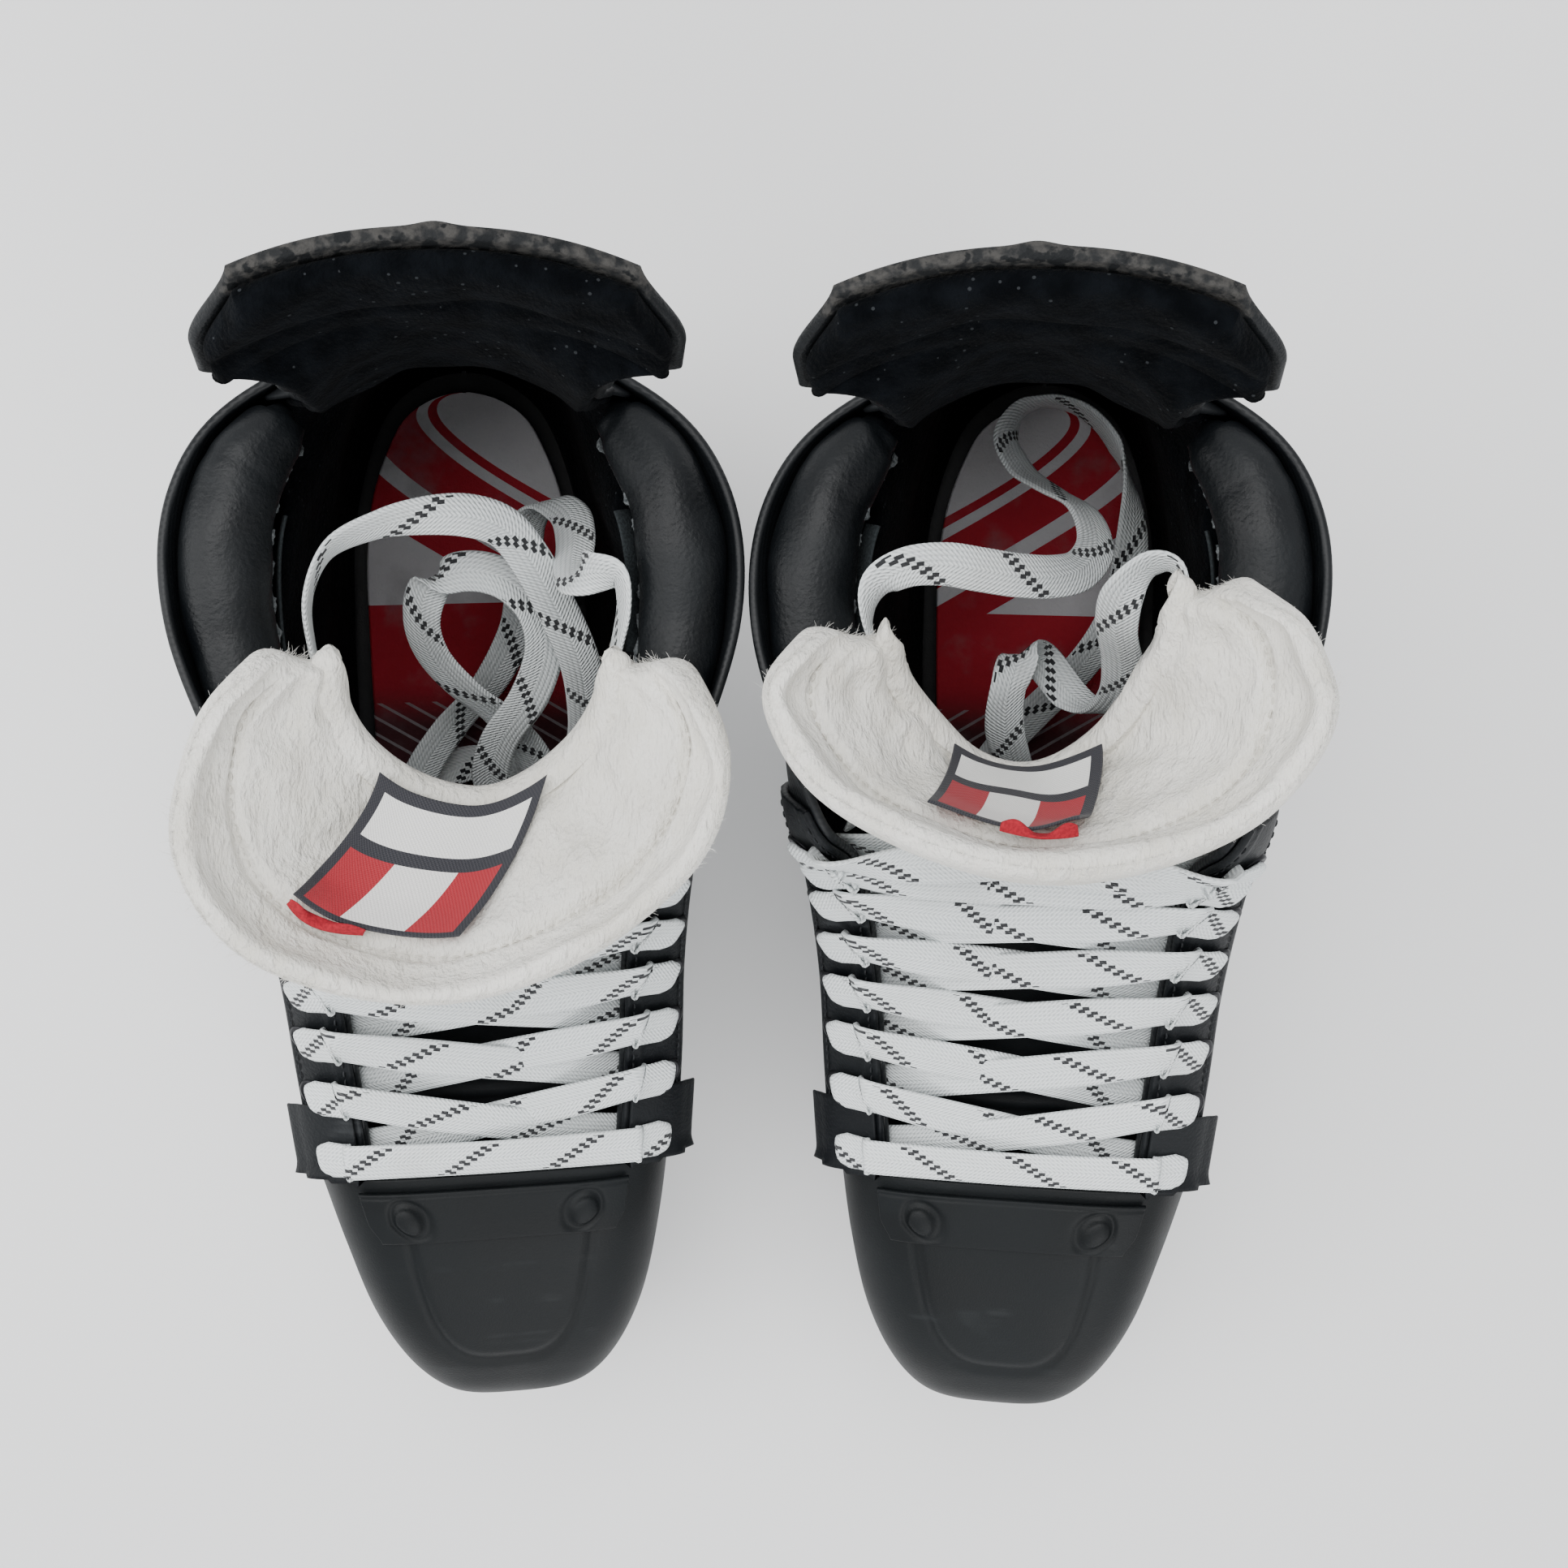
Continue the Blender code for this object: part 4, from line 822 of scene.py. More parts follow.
def lathe(centre, axis, profile, around=28):
    """A closed turned shape: profile holds (radius, height) from the middle of one end to the middle of the other."""
    axis = unit(np.asarray(axis, float))
    first = unit(np.cross(axis, (0.3, 1.0, 0.2)))
    second = np.cross(axis, first)
    turn = np.linspace(0, 2 * math.pi, around, endpoint=False)
    rings = [[centre + axis * high + (first * math.cos(t) + second * math.sin(t)) * max(reach, 0.02) for t in turn]
             for reach, high in profile]
    return rings_mesh(np.array(rings))


def fuzz(name, side, roots, outward, reach, body, seed, thick=0.11):
    """Short curled fibres standing out of felt."""
    chance = np.random.default_rng(seed)
    parts = []
    turn = np.linspace(0, 2 * math.pi, 3, endpoint=False)
    for root, out in zip(roots, outward):
        bend = unit(chance.normal(size=3))
        length = reach * chance.uniform(0.4, 1.3)
        ahead = unit(out + 0.7 * unit(chance.normal(size=3)))
        across = unit(np.cross(ahead, bend))
        other = np.cross(ahead, across)
        rings = []
        for share in (-0.15, 0.35, 0.7, 1.0):
            middle = root + (ahead * share + bend * 0.55 * share * share) * length
            fat = thick * (1 - 0.6 * max(share, 0)) / 2
            rings.append([middle + (across * math.cos(t) + other * math.sin(t)) * fat for t in turn])
        parts.append(rings_mesh(np.array(rings)))
    points, faces, lay = joined(parts)
    return piece(name, side, points, faces, lay, FINISH["fuzz"], "white_felt", body=body)


def ridge(t, centre, width):
    return np.exp(-((t - centre) / width) ** 2)


# ---------------------------------------------------------------- the boot
def front(part, a):
    """A place along the wall counted from the front, on the medial or the lateral side."""
    return a if part == "medial" else 2 * HEEL - a


def on_wall(part, a_span, v_span, inset=0.0):
    """place(u, v, more) over a patch of one side of the wall."""
    def place(u, v, more=0.0):
        a = a_span[0] + (a_span[1] - a_span[0]) * np.asarray(u, float)
        return wall(front(part, a), v_span[0] + (v_span[1] - v_span[0]) * np.asarray(v, float), inset + more)

    return place


def make_walls(side, part):
    quarter = on_wall(part, (0.0, HEEL - 0.02), (0.0, 1.0))

    def panel_relief(u, v):
        """A raised heel cup, a groove under the collar and soft flutes along the side."""
        a = u * (HEEL - 0.02)
        cup = 0.9 * smooth(0.0, 0.25, a - 6.3 + v * 0.9) * smooth(0.0, 0.05, 0.62 - v)
        collar = -0.7 * ridge(v - 0.86 + np.maximum(a - 3.2, 0) * 0.11, 0.0, 0.012) * smooth(3.6, 4.4, a)
        flutes = 0.35 * ridge(v, 0.42 - 0.03 * a, 0.05) - 0.35 * ridge(v, 0.33 - 0.03 * a, 0.02)
        return cup + collar + flutes * smooth(0.3, 1.5, a) * smooth(6.6, 5.6, a)

    slab(f"{side}_{part}_quarter_panel", side, quarter, (330, 120), SHELL, 0.9, (120, 50), FINISH["quarter"],
         "silver_quarter", relief=panel_relief, lay=lambda u, v: (u * (HEEL - 0.02), v),
         stands_for=[f"{side}_{part}_quarter"])
    stay = on_wall(part, (0.02, 4.07), (0.755, 1.0), -OVERLAY_GAP - EYESTAY)

    def stay_relief(u, v):
        ribs = 0.35 * ridge(v, 0.80, 0.05) + 0.25 * ridge(v, 0.10, 0.04) - 0.3 * ridge(v, 0.18, 0.03)
        return ribs - 0.25 * ridge(v, 0.91, 0.02)

    slab(f"{side}_{part}_eyestay_strip", side, stay, (192, 20), EYESTAY + 0.4, 0.7, (150, 26), FINISH["eyestay"],
         "black_composite", relief=stay_relief, stands_for=[f"{side}_{part}_eyestay"])
    for row, v in (("outer", 0.18), ("inner", 0.90)):
        stitch_row(f"{side}_{part}_eyestay_stitching_{row}", side, stay, lambda t, v=v: (0.01 + 0.98 * t, 0 * t + v),
                   2.9, 0.55, FINISH["stitch"], "black_composite")
    rims = []
    for a in EYELETS:
        seat = wall(np.array([front(part, a)]), np.array([EYELET_V]), -OVERLAY_GAP - EYESTAY + 0.1)[0]
        away = wall(np.array([front(part, a)]), np.array([EYELET_V]), -9.0)[0] - seat
        rims.append(lathe(seat, away, ((0.0, -2.4), (2.3, -2.4), (2.4, -0.4), (2.7, 0.35), (3.3, 0.62), (3.9, 0.42),
                                       (4.1, -0.1), (4.0, -0.6), (2.6, -2.8), (0.0, -2.8))[::-1]))
    points, faces, lay = joined(rims)
    piece(f"{side}_{part}_eyelet_rings", side, points, faces, lay, FINISH["ring"], "black_composite")

    def wing(u, v, more=0.0):
        """The patch round the lowest eyelet: flat under the lace, standing proud at its front and outer edges."""
        u, v = np.broadcast_arrays(np.asarray(u, float), np.asarray(v, float))
        flare = 2.6 * smooth(0.36, 0.0, u) + 1.3 * smooth(0.3, 0.0, v)
        a, high = -0.20 + 0.86 * u + 0.10 * v, 0.66 + 0.325 * v
        return wall(front(part, a), high, -OVERLAY_GAP - EYESTAY - 1.35 - flare + more)

    slab(f"{side}_{part}_front_patch", side, wing, (24, 27), 0.95, 0.45, (26, 26), FINISH["eyestay"],
         "black_composite", relief=lambda u, v: -0.2 * ridge(u, 0.12, 0.03))
    slab(f"{side}_{part}_patch_piping", side, lambda u, v, more=0.0: wing(0.03 * u - 0.02, 0.02 + 0.93 * v, more - 0.1),
         (0.9, 26), 1.2, 0.4, (3, 30), FINISH["seam"], "black_composite")


def make_lining(side):
    def top(a):
        near_heel = 1 - np.minimum(1.0, np.abs(a - HEEL) / 1.9)
        return 0.80 + 0.16 * np.minimum(1.0, near_heel * 1.8)

    def place(u, v, more=0.0):
        a = 0.5 + (2 * HEEL - 1.0) * np.asarray(u, float)
        from_heel = np.abs(a - HEEL)
        v_ = 0.06 + (top(a) - 0.06) * np.asarray(v, float)
        padded = smooth(1.2, 2.2, from_heel) * smooth(4.6, 3.6, from_heel)
        swell = padded * (9.5 * smooth(0.52, 0.80, v_) + 1.2 * smooth(0.3, 0.5, v_))
        lumps = 0.5 * ripple(a * 24, v_ * 120, 3, 30) * smooth(0.1, 0.3, v_)
        return wall(a, v_, SHELL + 1.0 + swell + lumps + more)

    def flipped(u, v, more=0.0):
        """The same sheet drawn from its foot side."""
        return place(u, v, 3.6 - np.asarray(more))

    felt = slab(f"{side}_ankle_felt", side, flipped, (520, 95), 3.6, 1.4, (170, 40), FINISH["black_felt"], "black_felt",
         stands_for=[f"{side}_ankle_lining"])


def collar_route(part, inset, v, a_span=(4.02, 7.02), count=90):
    share = np.linspace(0, 1, count)
    a = a_span[0] + (a_span[1] - a_span[0]) * share
    return share, wall(front(part, a), np.full(count, v), inset)


def make_collar(side, part):
    share = np.linspace(0, 1, 110)
    fat = 0.60 + 0.44 * np.sin(math.pi * np.clip(share * 1.02, 0, 1)) ** 0.55
    a = 4.0 + 3.04 * share
    centre = wall(front(part, a), 0.925 + 0.02 * share, SHELL + 0.4 + 8.8 * fat)
    seed = 5 if part == "medial" else 9

    def creases(s, turn):
        """Soft folds across the roll, deeper towards its ends, and long waves."""
        end = smooth(0.35, 0.0, s / s.max()) + smooth(0.7, 1.0, s / s.max())
        folds = -0.9 * np.maximum(0, np.sin(s / 2.6 + 0.8 * np.sin(turn + seed))) ** 6 * end
        return folds * (0.4 + 0.6 * np.sin(turn * 0.5) ** 2) + 0.35 * ripple(s + 6 * turn, 8 * turn, seed, 26)

    roll = tube(f"{side}_{part}_collar_roll", side, centre, 9.3 * fat, FINISH["leather"], "black_leather", around=40,
         flat=0.94, relief=creases, stands_for=[f"{side}_{part}_collar_pad"])
    inner = wall(front(part, a), 0.925 + 0.02 * share, SHELL + 0.4 + 8.8 * fat + 9.0 * fat)
    inner[:, 2] -= 2.5
    s = lengths_along(inner)
    ragged = 0.55 + 0.35 * np.sin(s * 1.9) * np.sin(s * 0.7 + seed) + 0.2 * np.sin(s * 4.3)
    wavy = inner + np.stack([0.5 * np.sin(s * 0.9 + seed), 0.4 * np.sin(s * 1.3), 0.3 * np.sin(s * 2.1)], axis=-1)
    tube(f"{side}_{part}_collar_seam", side, wavy[4:-3], np.clip(ragged, 0.25, 1.1)[4:-3], FINISH["seam"],
         "black_leather", around=8, flat=0.5)
    span = slice(26, 74)
    low = wall(front(part, a), 0.895 + 0 * share, SHELL + 0.4 + 17.6 * fat)[span]
    low[:, 2] -= 3.0
    inward = unit(low - centre[span])
    upright = unit(np.cross(directions(low), inward))
    band(f"{side}_{part}_collar_strip", side, low + inward * 0.4, upright + 0.35 * inward, 2.5, FINISH["strip"],
         "black_leather", thick=0.5)


# ---------------------------------------------------------------- the toe
def make_toe(side):
    middle, half, depth, start = 1.6, 25.0, 50.0, -84.0

    def groove(u, w):
        """A rounded U pressed into the cap's top, and a soft ridge inside it."""
        spot = toe_surface(u, w)
        x, y = spot[..., 0] - middle, spot[..., 1] - start
        reach = (np.abs(x / (half + y * 0.10)) ** 3.4 + np.abs(np.minimum(y, 0) / depth) ** 3.4) ** (1 / 3.4)
        on_top = smooth(0.16, 0.24, u) * smooth(0.84, 0.76, u) * smooth(3.0, -3.0, y)
        line = -0.75 * ridge(reach, 1.0, 0.032) + 0.45 * smooth(1.02, 0.93, reach)
        foot = 0.5 * (smooth(0.07, 0.05, u) + smooth(0.93, 0.95, u))
        return line * on_top + foot

    def spread(u):
        """Closer together towards the two sole edges, where the cap curves most."""
        u = np.asarray(u, float)
        near = 0.5 * np.clip(2 * np.minimum(u, 1 - u), 0, 1) ** 2.2
        return np.where(u < 0.5, near, 1 - near)

    def cap(u, v, more=0.0):
        return toe(spread(u), v, more)

    slab(f"{side}_toe_cap_shell", side, cap, (150, 105), SHELL, 0.8, (230, 120), FINISH["cap"], "black_plastic",
         relief=lambda u, v: groove(spread(u), v), stands_for=[f"{side}_toe_cap"])

    def plate(u, v, more=0.0):
        u, v = np.broadcast_arrays(np.asarray(u, float), np.asarray(v, float))
        wide = 0.155 - 0.022 * smooth(0.55, 1.0, v)
        return toe(0.5 - wide + 2 * wide * u, 0.03 + 0.125 * v, -GAP - 1.5 + more)

    def bumps(u, v):
        """Two domes in ring-shaped hollows."""
        raised = -0.3 * ridge(v, 0.08, 0.03) + 0.15
        for at in (0.29, 0.71):
            away = np.hypot((u - at) * 43, (v - 0.54) * 11.0)
            raised = raised - 0.75 * ridge(away, 4.0, 0.8) + 1.35 * np.sqrt(np.clip(1 - (away / 2.9) ** 2, 0, 1))
        return raised

    slab(f"{side}_toe_bridge", side, plate, (43, 11), 1.5, 0.5, (110, 44), FINISH["cap"], "black_plastic",
         relief=bumps, stands_for=[f"{side}_toe_cap_plate"])


def sole_sheet(inset, tip):
    """place(u, v) on the sole's outline: u 0 (toe) - 1 (heel), v 0 (medial) - 1 (lateral)."""
    toes = np.array([w for w in (1.0, 0.96, 0.9, 0.84, 0.77, 0.69, 0.55, 0.4, 0.2) if w <= tip])
    walls = np.array((0.0, 0.5, 1.0, 1.5, 2.0, 2.5, 3.0, 3.5, 4.0, 4.5, 5.0, 5.5, 6.0, 6.4, 6.8, 7.1, 7.4, 7.65, 7.85,
                      7.95))
    sides = []
    for u, flip in ((0.0, 1), (1.0, -1)):
        a = walls if flip > 0 else 2 * HEEL - walls
        line = np.concatenate([toe_surface(np.full(len(toes), u), toes), wall(a, 0 * a)])
        ahead = directions(line) * flip
        sides.append(line - np.stack([-ahead[:, 1], ahead[:, 0], 0 * ahead[:, 0]], axis=-1) * -inset)
    count = len(toes) + len(walls)

    def place(u, v):
        t = np.asarray(u, float) * (count - 1)
        v = np.asarray(v, float)[..., None]
        return curve(sides[0], t) * (1 - v) + curve(sides[1], t) * v

    return place


def make_soles(side):
    outline = sole_sheet(0.4, 1.0)

    def outsole(u, v, more=0.0):
        spot = outline(u, v)
        spot[..., 2] = sole_z(spot[..., 1]) - GAP - np.broadcast_to(more, spot.shape[:-1])
        return spot

    slab(f"{side}_sole_plate", side, outsole, (300, 80), OUTSOLE, 0.8, (120, 26), FINISH["outsole"],
         "outsole_composite", stands_for=[f"{side}_outsole"])
    inner = sole_sheet(7.6, 0.85)

    def insole(u, v, more=0.0):
        """A footbed with a cupped heel and a soft arch."""
        spot = inner(u, v)
        edge = np.abs(2 * np.asarray(v) - 1) ** 3
        cup = 1.6 * edge * smooth(20, 90, spot[..., 1])
        spot[..., 2] = sole_z(spot[..., 1]) + 7.4 + cup - np.broadcast_to(more, spot.shape[:-1])
        return spot

    slab(f"{side}_footbed", side, insole, (262, 66), INSOLE, 1.0, (130, 40), FINISH["insole"], "insole_print",
         lay=lambda u, v: (1 - 2 * v, inner(u, v)[..., 1]), stands_for=[f"{side}_insole"])


# ---------------------------------------------------------------- the tongue
def make_tongue(side):
    def face(u, v, more=0.0):
        return tongue(-34 + 68 * np.asarray(u, float), np.asarray(v, float), more)

    def mould(u, v):
        """Raised bars low on the tongue's front, and a quilted field above them."""
        bars = 0.9 * smooth(0.35, 0.8, np.sin(v * 95)) * smooth(0.14, 0.17, v) * smooth(0.30, 0.27, v)
        across = smooth(0.2, 0.23, u) * smooth(0.8, 0.77, u)
        quilt = 0.25 * np.sin(u * 70) * np.sin(v * 110) * smooth(0.32, 0.4, v)
        return bars * across + quilt

    slab(f"{side}_tongue_skin", side, face, (68, 145), FACING, 0.6, (70, 150), FINISH["facing"], "black_plastic",
         relief=mould, stands_for=[f"{side}_tongue_facing"])
    lower = slab(f"{side}_tongue_lower_felt", side, lambda u, v, more=0.0: face(u, v, FACING + GAP + np.asarray(more)),
         (68, 145), FELT, 2.2, (40, 80), FINISH["white_felt"], "white_felt", stands_for=[f"{side}_tongue_felt"])
    place = flaps[side]

    def skin(u, v, more=0.0):
        """The folded top, on its foot side. Its inner end runs on down behind the top lace."""
        p, q = 1 - np.asarray(u, float), np.asarray(v, float)
        p, q = np.broadcast_arrays(p, q)
        from_end = np.clip(1 - np.minimum(p, 1 - p) / 0.085, 0, 1)
        q = q * (1 - 0.42 * (1 - np.sqrt(1 - from_end ** 2 * 0.98)))
        edge = 0.02 * ripple(p * 160, q * 20, 4 if side == "right" else 7, 36) * smooth(0.55, 1.0, q)
        roll = smooth(0.80, 1.0, q)
        return place(p, np.minimum(q * (1 + edge - 0.03 * roll), 1.0), more - 3.4 * roll)

    def creases(u, v):
        p, q = 1 - u, v
        wide = 45 + 115 * q  # about the flap's length at this q, in mm
        inset = (1 - q) * 52
        line = -2.1 * ridge(inset, 15.0 + 1.5 * np.sin(p * 9), 1.1) * smooth(0.02, 0.08, p) * smooth(0.98, 0.92, p)
        pad = 1.5 * smooth(14.5, 18.5, inset) * smooth(50, 40, inset)
        fold_1 = -2.4 * ridge((p - 0.27 - 0.10 * (1 - q)) * wide, 0.0, 4.5) * smooth(0.9, 0.35, q)
        fold_2 = -2.0 * ridge((p - 0.76 + 0.10 * (1 - q)) * wide, 0.0, 4.0) * smooth(0.9, 0.4, q)
        return line + pad + fold_1 + fold_2 + 0.9 * ripple(p * 170, q * 50, 2 if side == "right" else 6, 24)

    top = slab(f"{side}_tongue_fold_felt", side, skin, (170, 52), FELT, 3.1, (190, 70), FINISH["white_felt"],
               "white_felt", relief=creases, body="tongue", stands_for=[f"{side}_tongue_top"])

    def pad_line(t):
        """The sewn line round the inner pad, one pad's width inside the rim."""
        return 0.06 + 0.88 * t, 1 - (15.0 + 1.5 * np.sin((1 - 0.06 - 0.88 * t) * 9)) / 52

    stitch_row(f"{side}_tongue_pad_stitching", side, lambda u, v, more=0.0: skin(u, v, more + 0.75), pad_line, 2.6, 0.5,
               FINISH["felt_stitch"], "white_felt", body="tongue")
    chance = np.random.default_rng(11 if side == "right" else 12)
    count = 1500
    u, v = chance.uniform(0, 1, count), np.where(chance.uniform(size=count) < 0.7, 1.0, 0.0)
    ends = chance.uniform(size=count) < 0.12
    u = np.where(ends, np.where(u < 0.5, 0.0, 1.0), u)
    v = np.where(ends, chance.uniform(0, 1, count), v)
    roots, back = skin(u, v, FELT / 2), skin(0.5 + (u - 0.5) * 0.96, 0.5 + (v - 0.5) * 0.94, FELT / 2)
    fuzz(f"{side}_tongue_fuzz", side, roots, unit(roots - back), 1.9, "tongue", 21 if side == "right" else 22)
    return skin


def joining(rows):
    """place(u, v, inset) on a surface that runs smoothly through rows, each a function of u, evenly spaced in v."""
    def surface(u, v):
        lines = np.stack([row(u) for row in rows], axis=-2)
        return curve_each(lines, v * (len(rows) - 1))

    return offset_surface(surface, (0, 1), (0, 1), 0.01)


def hinged_felt(name, side, rows, size, thick, finish, slot, crease):
    """A sheet that runs from the boot at its lower edge up to a moving part at its upper one."""
    middle = joining(rows)
    made = slab(name, side, lambda u, v, more=0.0: middle(u, v, np.asarray(more) - thick / 2), size, thick,
                min(0.45 * thick, 2.4), (70, 34), finish, slot, body=None)
    start, end = in_frame(side, crease)
    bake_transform(made)


def make_tongue_neck(side):
    """The tongue's felt from the lacing up into the folded top."""
    depth = FACING + GAP + FELT / 2
    rows = [lambda u: tongue(-33 + 66 * u, 0 * u + 0.90, depth), lambda u: tongue(-33 + 66 * u, 0 * u + 0.985, depth),
            lambda u: flaps[side](u, 0 * u, FELT / 2), lambda u: flaps[side](u, 0 * u + 0.10, FELT / 2)]
    fold = {"right": (29.0, 186.0), "left": (37.0, 181.0)}[side]
    hinged_felt(f"{side}_tongue_neck_felt", side, rows, (75, 45), FELT, FINISH["white_felt"], "white_felt",
                [(0, 21, 175.5), (0, *fold)])


def make_guard_base(side):
    """The strip and the felt that sew the tendon guard into the boot's heel."""
    def wall_row(reach, v, inset):
        return lambda u: wall(HEEL - reach * (1 - 2 * u), 0 * u + v, inset)

    def guard_row(reach, w, inset):
        return lambda u: guard(reach * (1 - 2 * u), 0 * u + w, inset)

    crease = [(0, 130, 176), (0, 129, 189)]
    rows = [wall_row(1.05, 0.84, SHELL + 0.6), wall_row(1.05, 0.95, SHELL + 0.6), guard_row(0.99, 0.03, 1.3),
            guard_row(0.97, 0.14, 1.3)]
    hinged_felt(f"{side}_guard_base", side, rows, (72, 34), 1.2, FINISH["guard_base"], "black_plastic",
                crease)
    rows = [wall_row(0.98, 0.80, SHELL + 2.9), wall_row(0.98, 0.93, SHELL + 2.9), guard_row(0.95, 0.03, 5.2),
            guard_row(0.93, 0.14, 5.2)]
    hinged_felt(f"{side}_guard_base_felt", side, rows, (70, 38), 3.6, FINISH["black_felt"], "black_felt",
                crease)


def make_label(side, skin):
    """A woven label sewn on at the fold side, lying over the felt with its free corner lifted."""
    width = 37.0
    turn = {"right": 0.05, "left": -0.03}[side]
    first, last = {"right": (0.05, 0.70), "left": (0.12, 0.78)}[side]
    at = {"right": 0.54, "left": 0.445}[side]

    def place(u, v, more=0.0):
        u, v = np.broadcast_arrays(np.asarray(u, float), np.asarray(v, float))
        q = first + (last - first) * v
        wide = np.interp(q, (0, 1), (88, 285))
        lift = 0.5 * ripple(u * 40, v * 30, 5, 30) + (2.4 * smooth(0.6, 1.0, u) + 0.8) * smooth(0.72, 1.0, v)
        return skin(at + (u - 0.5) * width / wide + turn * (v - 0.5), q, -3.6 - lift + more)

    woven = slab(f"{side}_tongue_label_weave", side, place, (width, 37), 0.7, 0.3, (60, 60), FINISH["label"], "label_weave",
         lay=lambda u, v: (u, v), body="tongue", stands_for=[f"{side}_tongue_label"])

    def tuck(u, v, more=0.0):
        """The red turned-under edge that shows at the label's lower side."""
        u, v = np.broadcast_arrays(np.asarray(u, float), np.asarray(v, float))
        curl = 2.6 * np.sin(v * math.pi) * (0.5 + 0.5 * np.sin(u * 9)) + 0.4
        q = last + 0.055 * v * (0.4 + 0.6 * np.sin(u * math.pi))
        wide = np.interp(q, (0, 1), (88, 285))
        return skin(at + (0.48 * u) * width / wide + turn * 0.5, q, -3.2 - curl + more)

    under_side = slab(f"{side}_tongue_label_underside", side, place=tuck, size=(20, 5), thick=0.6, edge=0.28, cells=(40, 10),
         finish=FINISH["red_cloth"], slot="label_weave", body="tongue")


# ---------------------------------------------------------------- the tendon guard
def make_guard(side):
    def back(inset, width=1.0, low=0.0, high=1.0):
        def place(u, v, more=0.0):
            u, v = np.broadcast_arrays(np.asarray(u, float), np.asarray(v, float))
            return guard(width * (1 - 2 * u), low + (high - low) * v, inset + more)

        return place

    def ribs(u, v):
        """A raised spine and two flutes down the guard's back."""
        return 0.9 * ridge(u, 0.5, 0.05) + 0.5 * (ridge(u, 0.3, 0.03) + ridge(u, 0.7, 0.03)) * smooth(1.0, 0.6, v)

    slab(f"{side}_guard_shell", side, back(0.0), (80, 84), 2.6, 0.9, (80, 90), FINISH["guard"], "black_plastic",
         relief=ribs, lay=lambda u, v: (u, v), body="tendon_guard", stands_for=[f"{side}_tendon_guard"])

    def felt(u, v, more=0.0):
        """Drawn from the foot side, with a soft uneven face."""
        return back(2.6 + GAP, 0.975, 0.0, 0.972)(u, v, 4.4 - np.asarray(more))

    def lumps(u, v):
        rim = 0.9 * smooth(0.78, 0.90, v) * smooth(1.0, 0.95, v)
        return 0.6 * ripple(u * 80, v * 80, 8, 26) + rim - 0.8 * ridge(v, 0.80, 0.02)

    pad = slab(f"{side}_guard_felt", side, felt, (78, 82), 4.4, 1.6, (90, 90), FINISH["black_felt"], "black_felt",
         relief=lumps, body="tendon_guard", stands_for=[f"{side}_tendon_guard_felt"])


# ---------------------------------------------------------------- the holder and the blade
def holder_top(y):
    return sole_z(y) - GAP - OUTSOLE - GAP


def prism(outline, half):
    """Points and faces of a block whose side outline holds (y, z) places."""
    count = len(outline)
    points = [(x, y, z) for x in (-half, half) for y, z in outline]
    faces = [tuple(range(count)), tuple(range(2 * count - 1, count - 1, -1))]
    return points, faces + [(k, count + k, count + (k + 1) % count, (k + 1) % count) for k in range(count)]


def frustum(low, high):
    """A tapering block between two (half width, y from, y to, z) rectangles. z may be a pair, at the two y's."""
    points = []
    for half, near, far, z in (low, high):
        heights = z if isinstance(z, tuple) else (z, z)
        points += [(-half, near, heights[0]), (half, near, heights[0]), (half, far, heights[1]), (-half, far, heights[1])]
    return points, [(3, 2, 1, 0), (4, 5, 6, 7), (0, 1, 5, 4), (1, 2, 6, 5), (2, 3, 7, 6), (3, 0, 4, 7)]


def baked(made):
    """Applies an object's modifiers."""
    fixed = bpy.data.meshes.new_from_object(made.evaluated_get(bpy.context.evaluated_depsgraph_get()))
    made.modifiers.clear()
    made.data = fixed
    return made


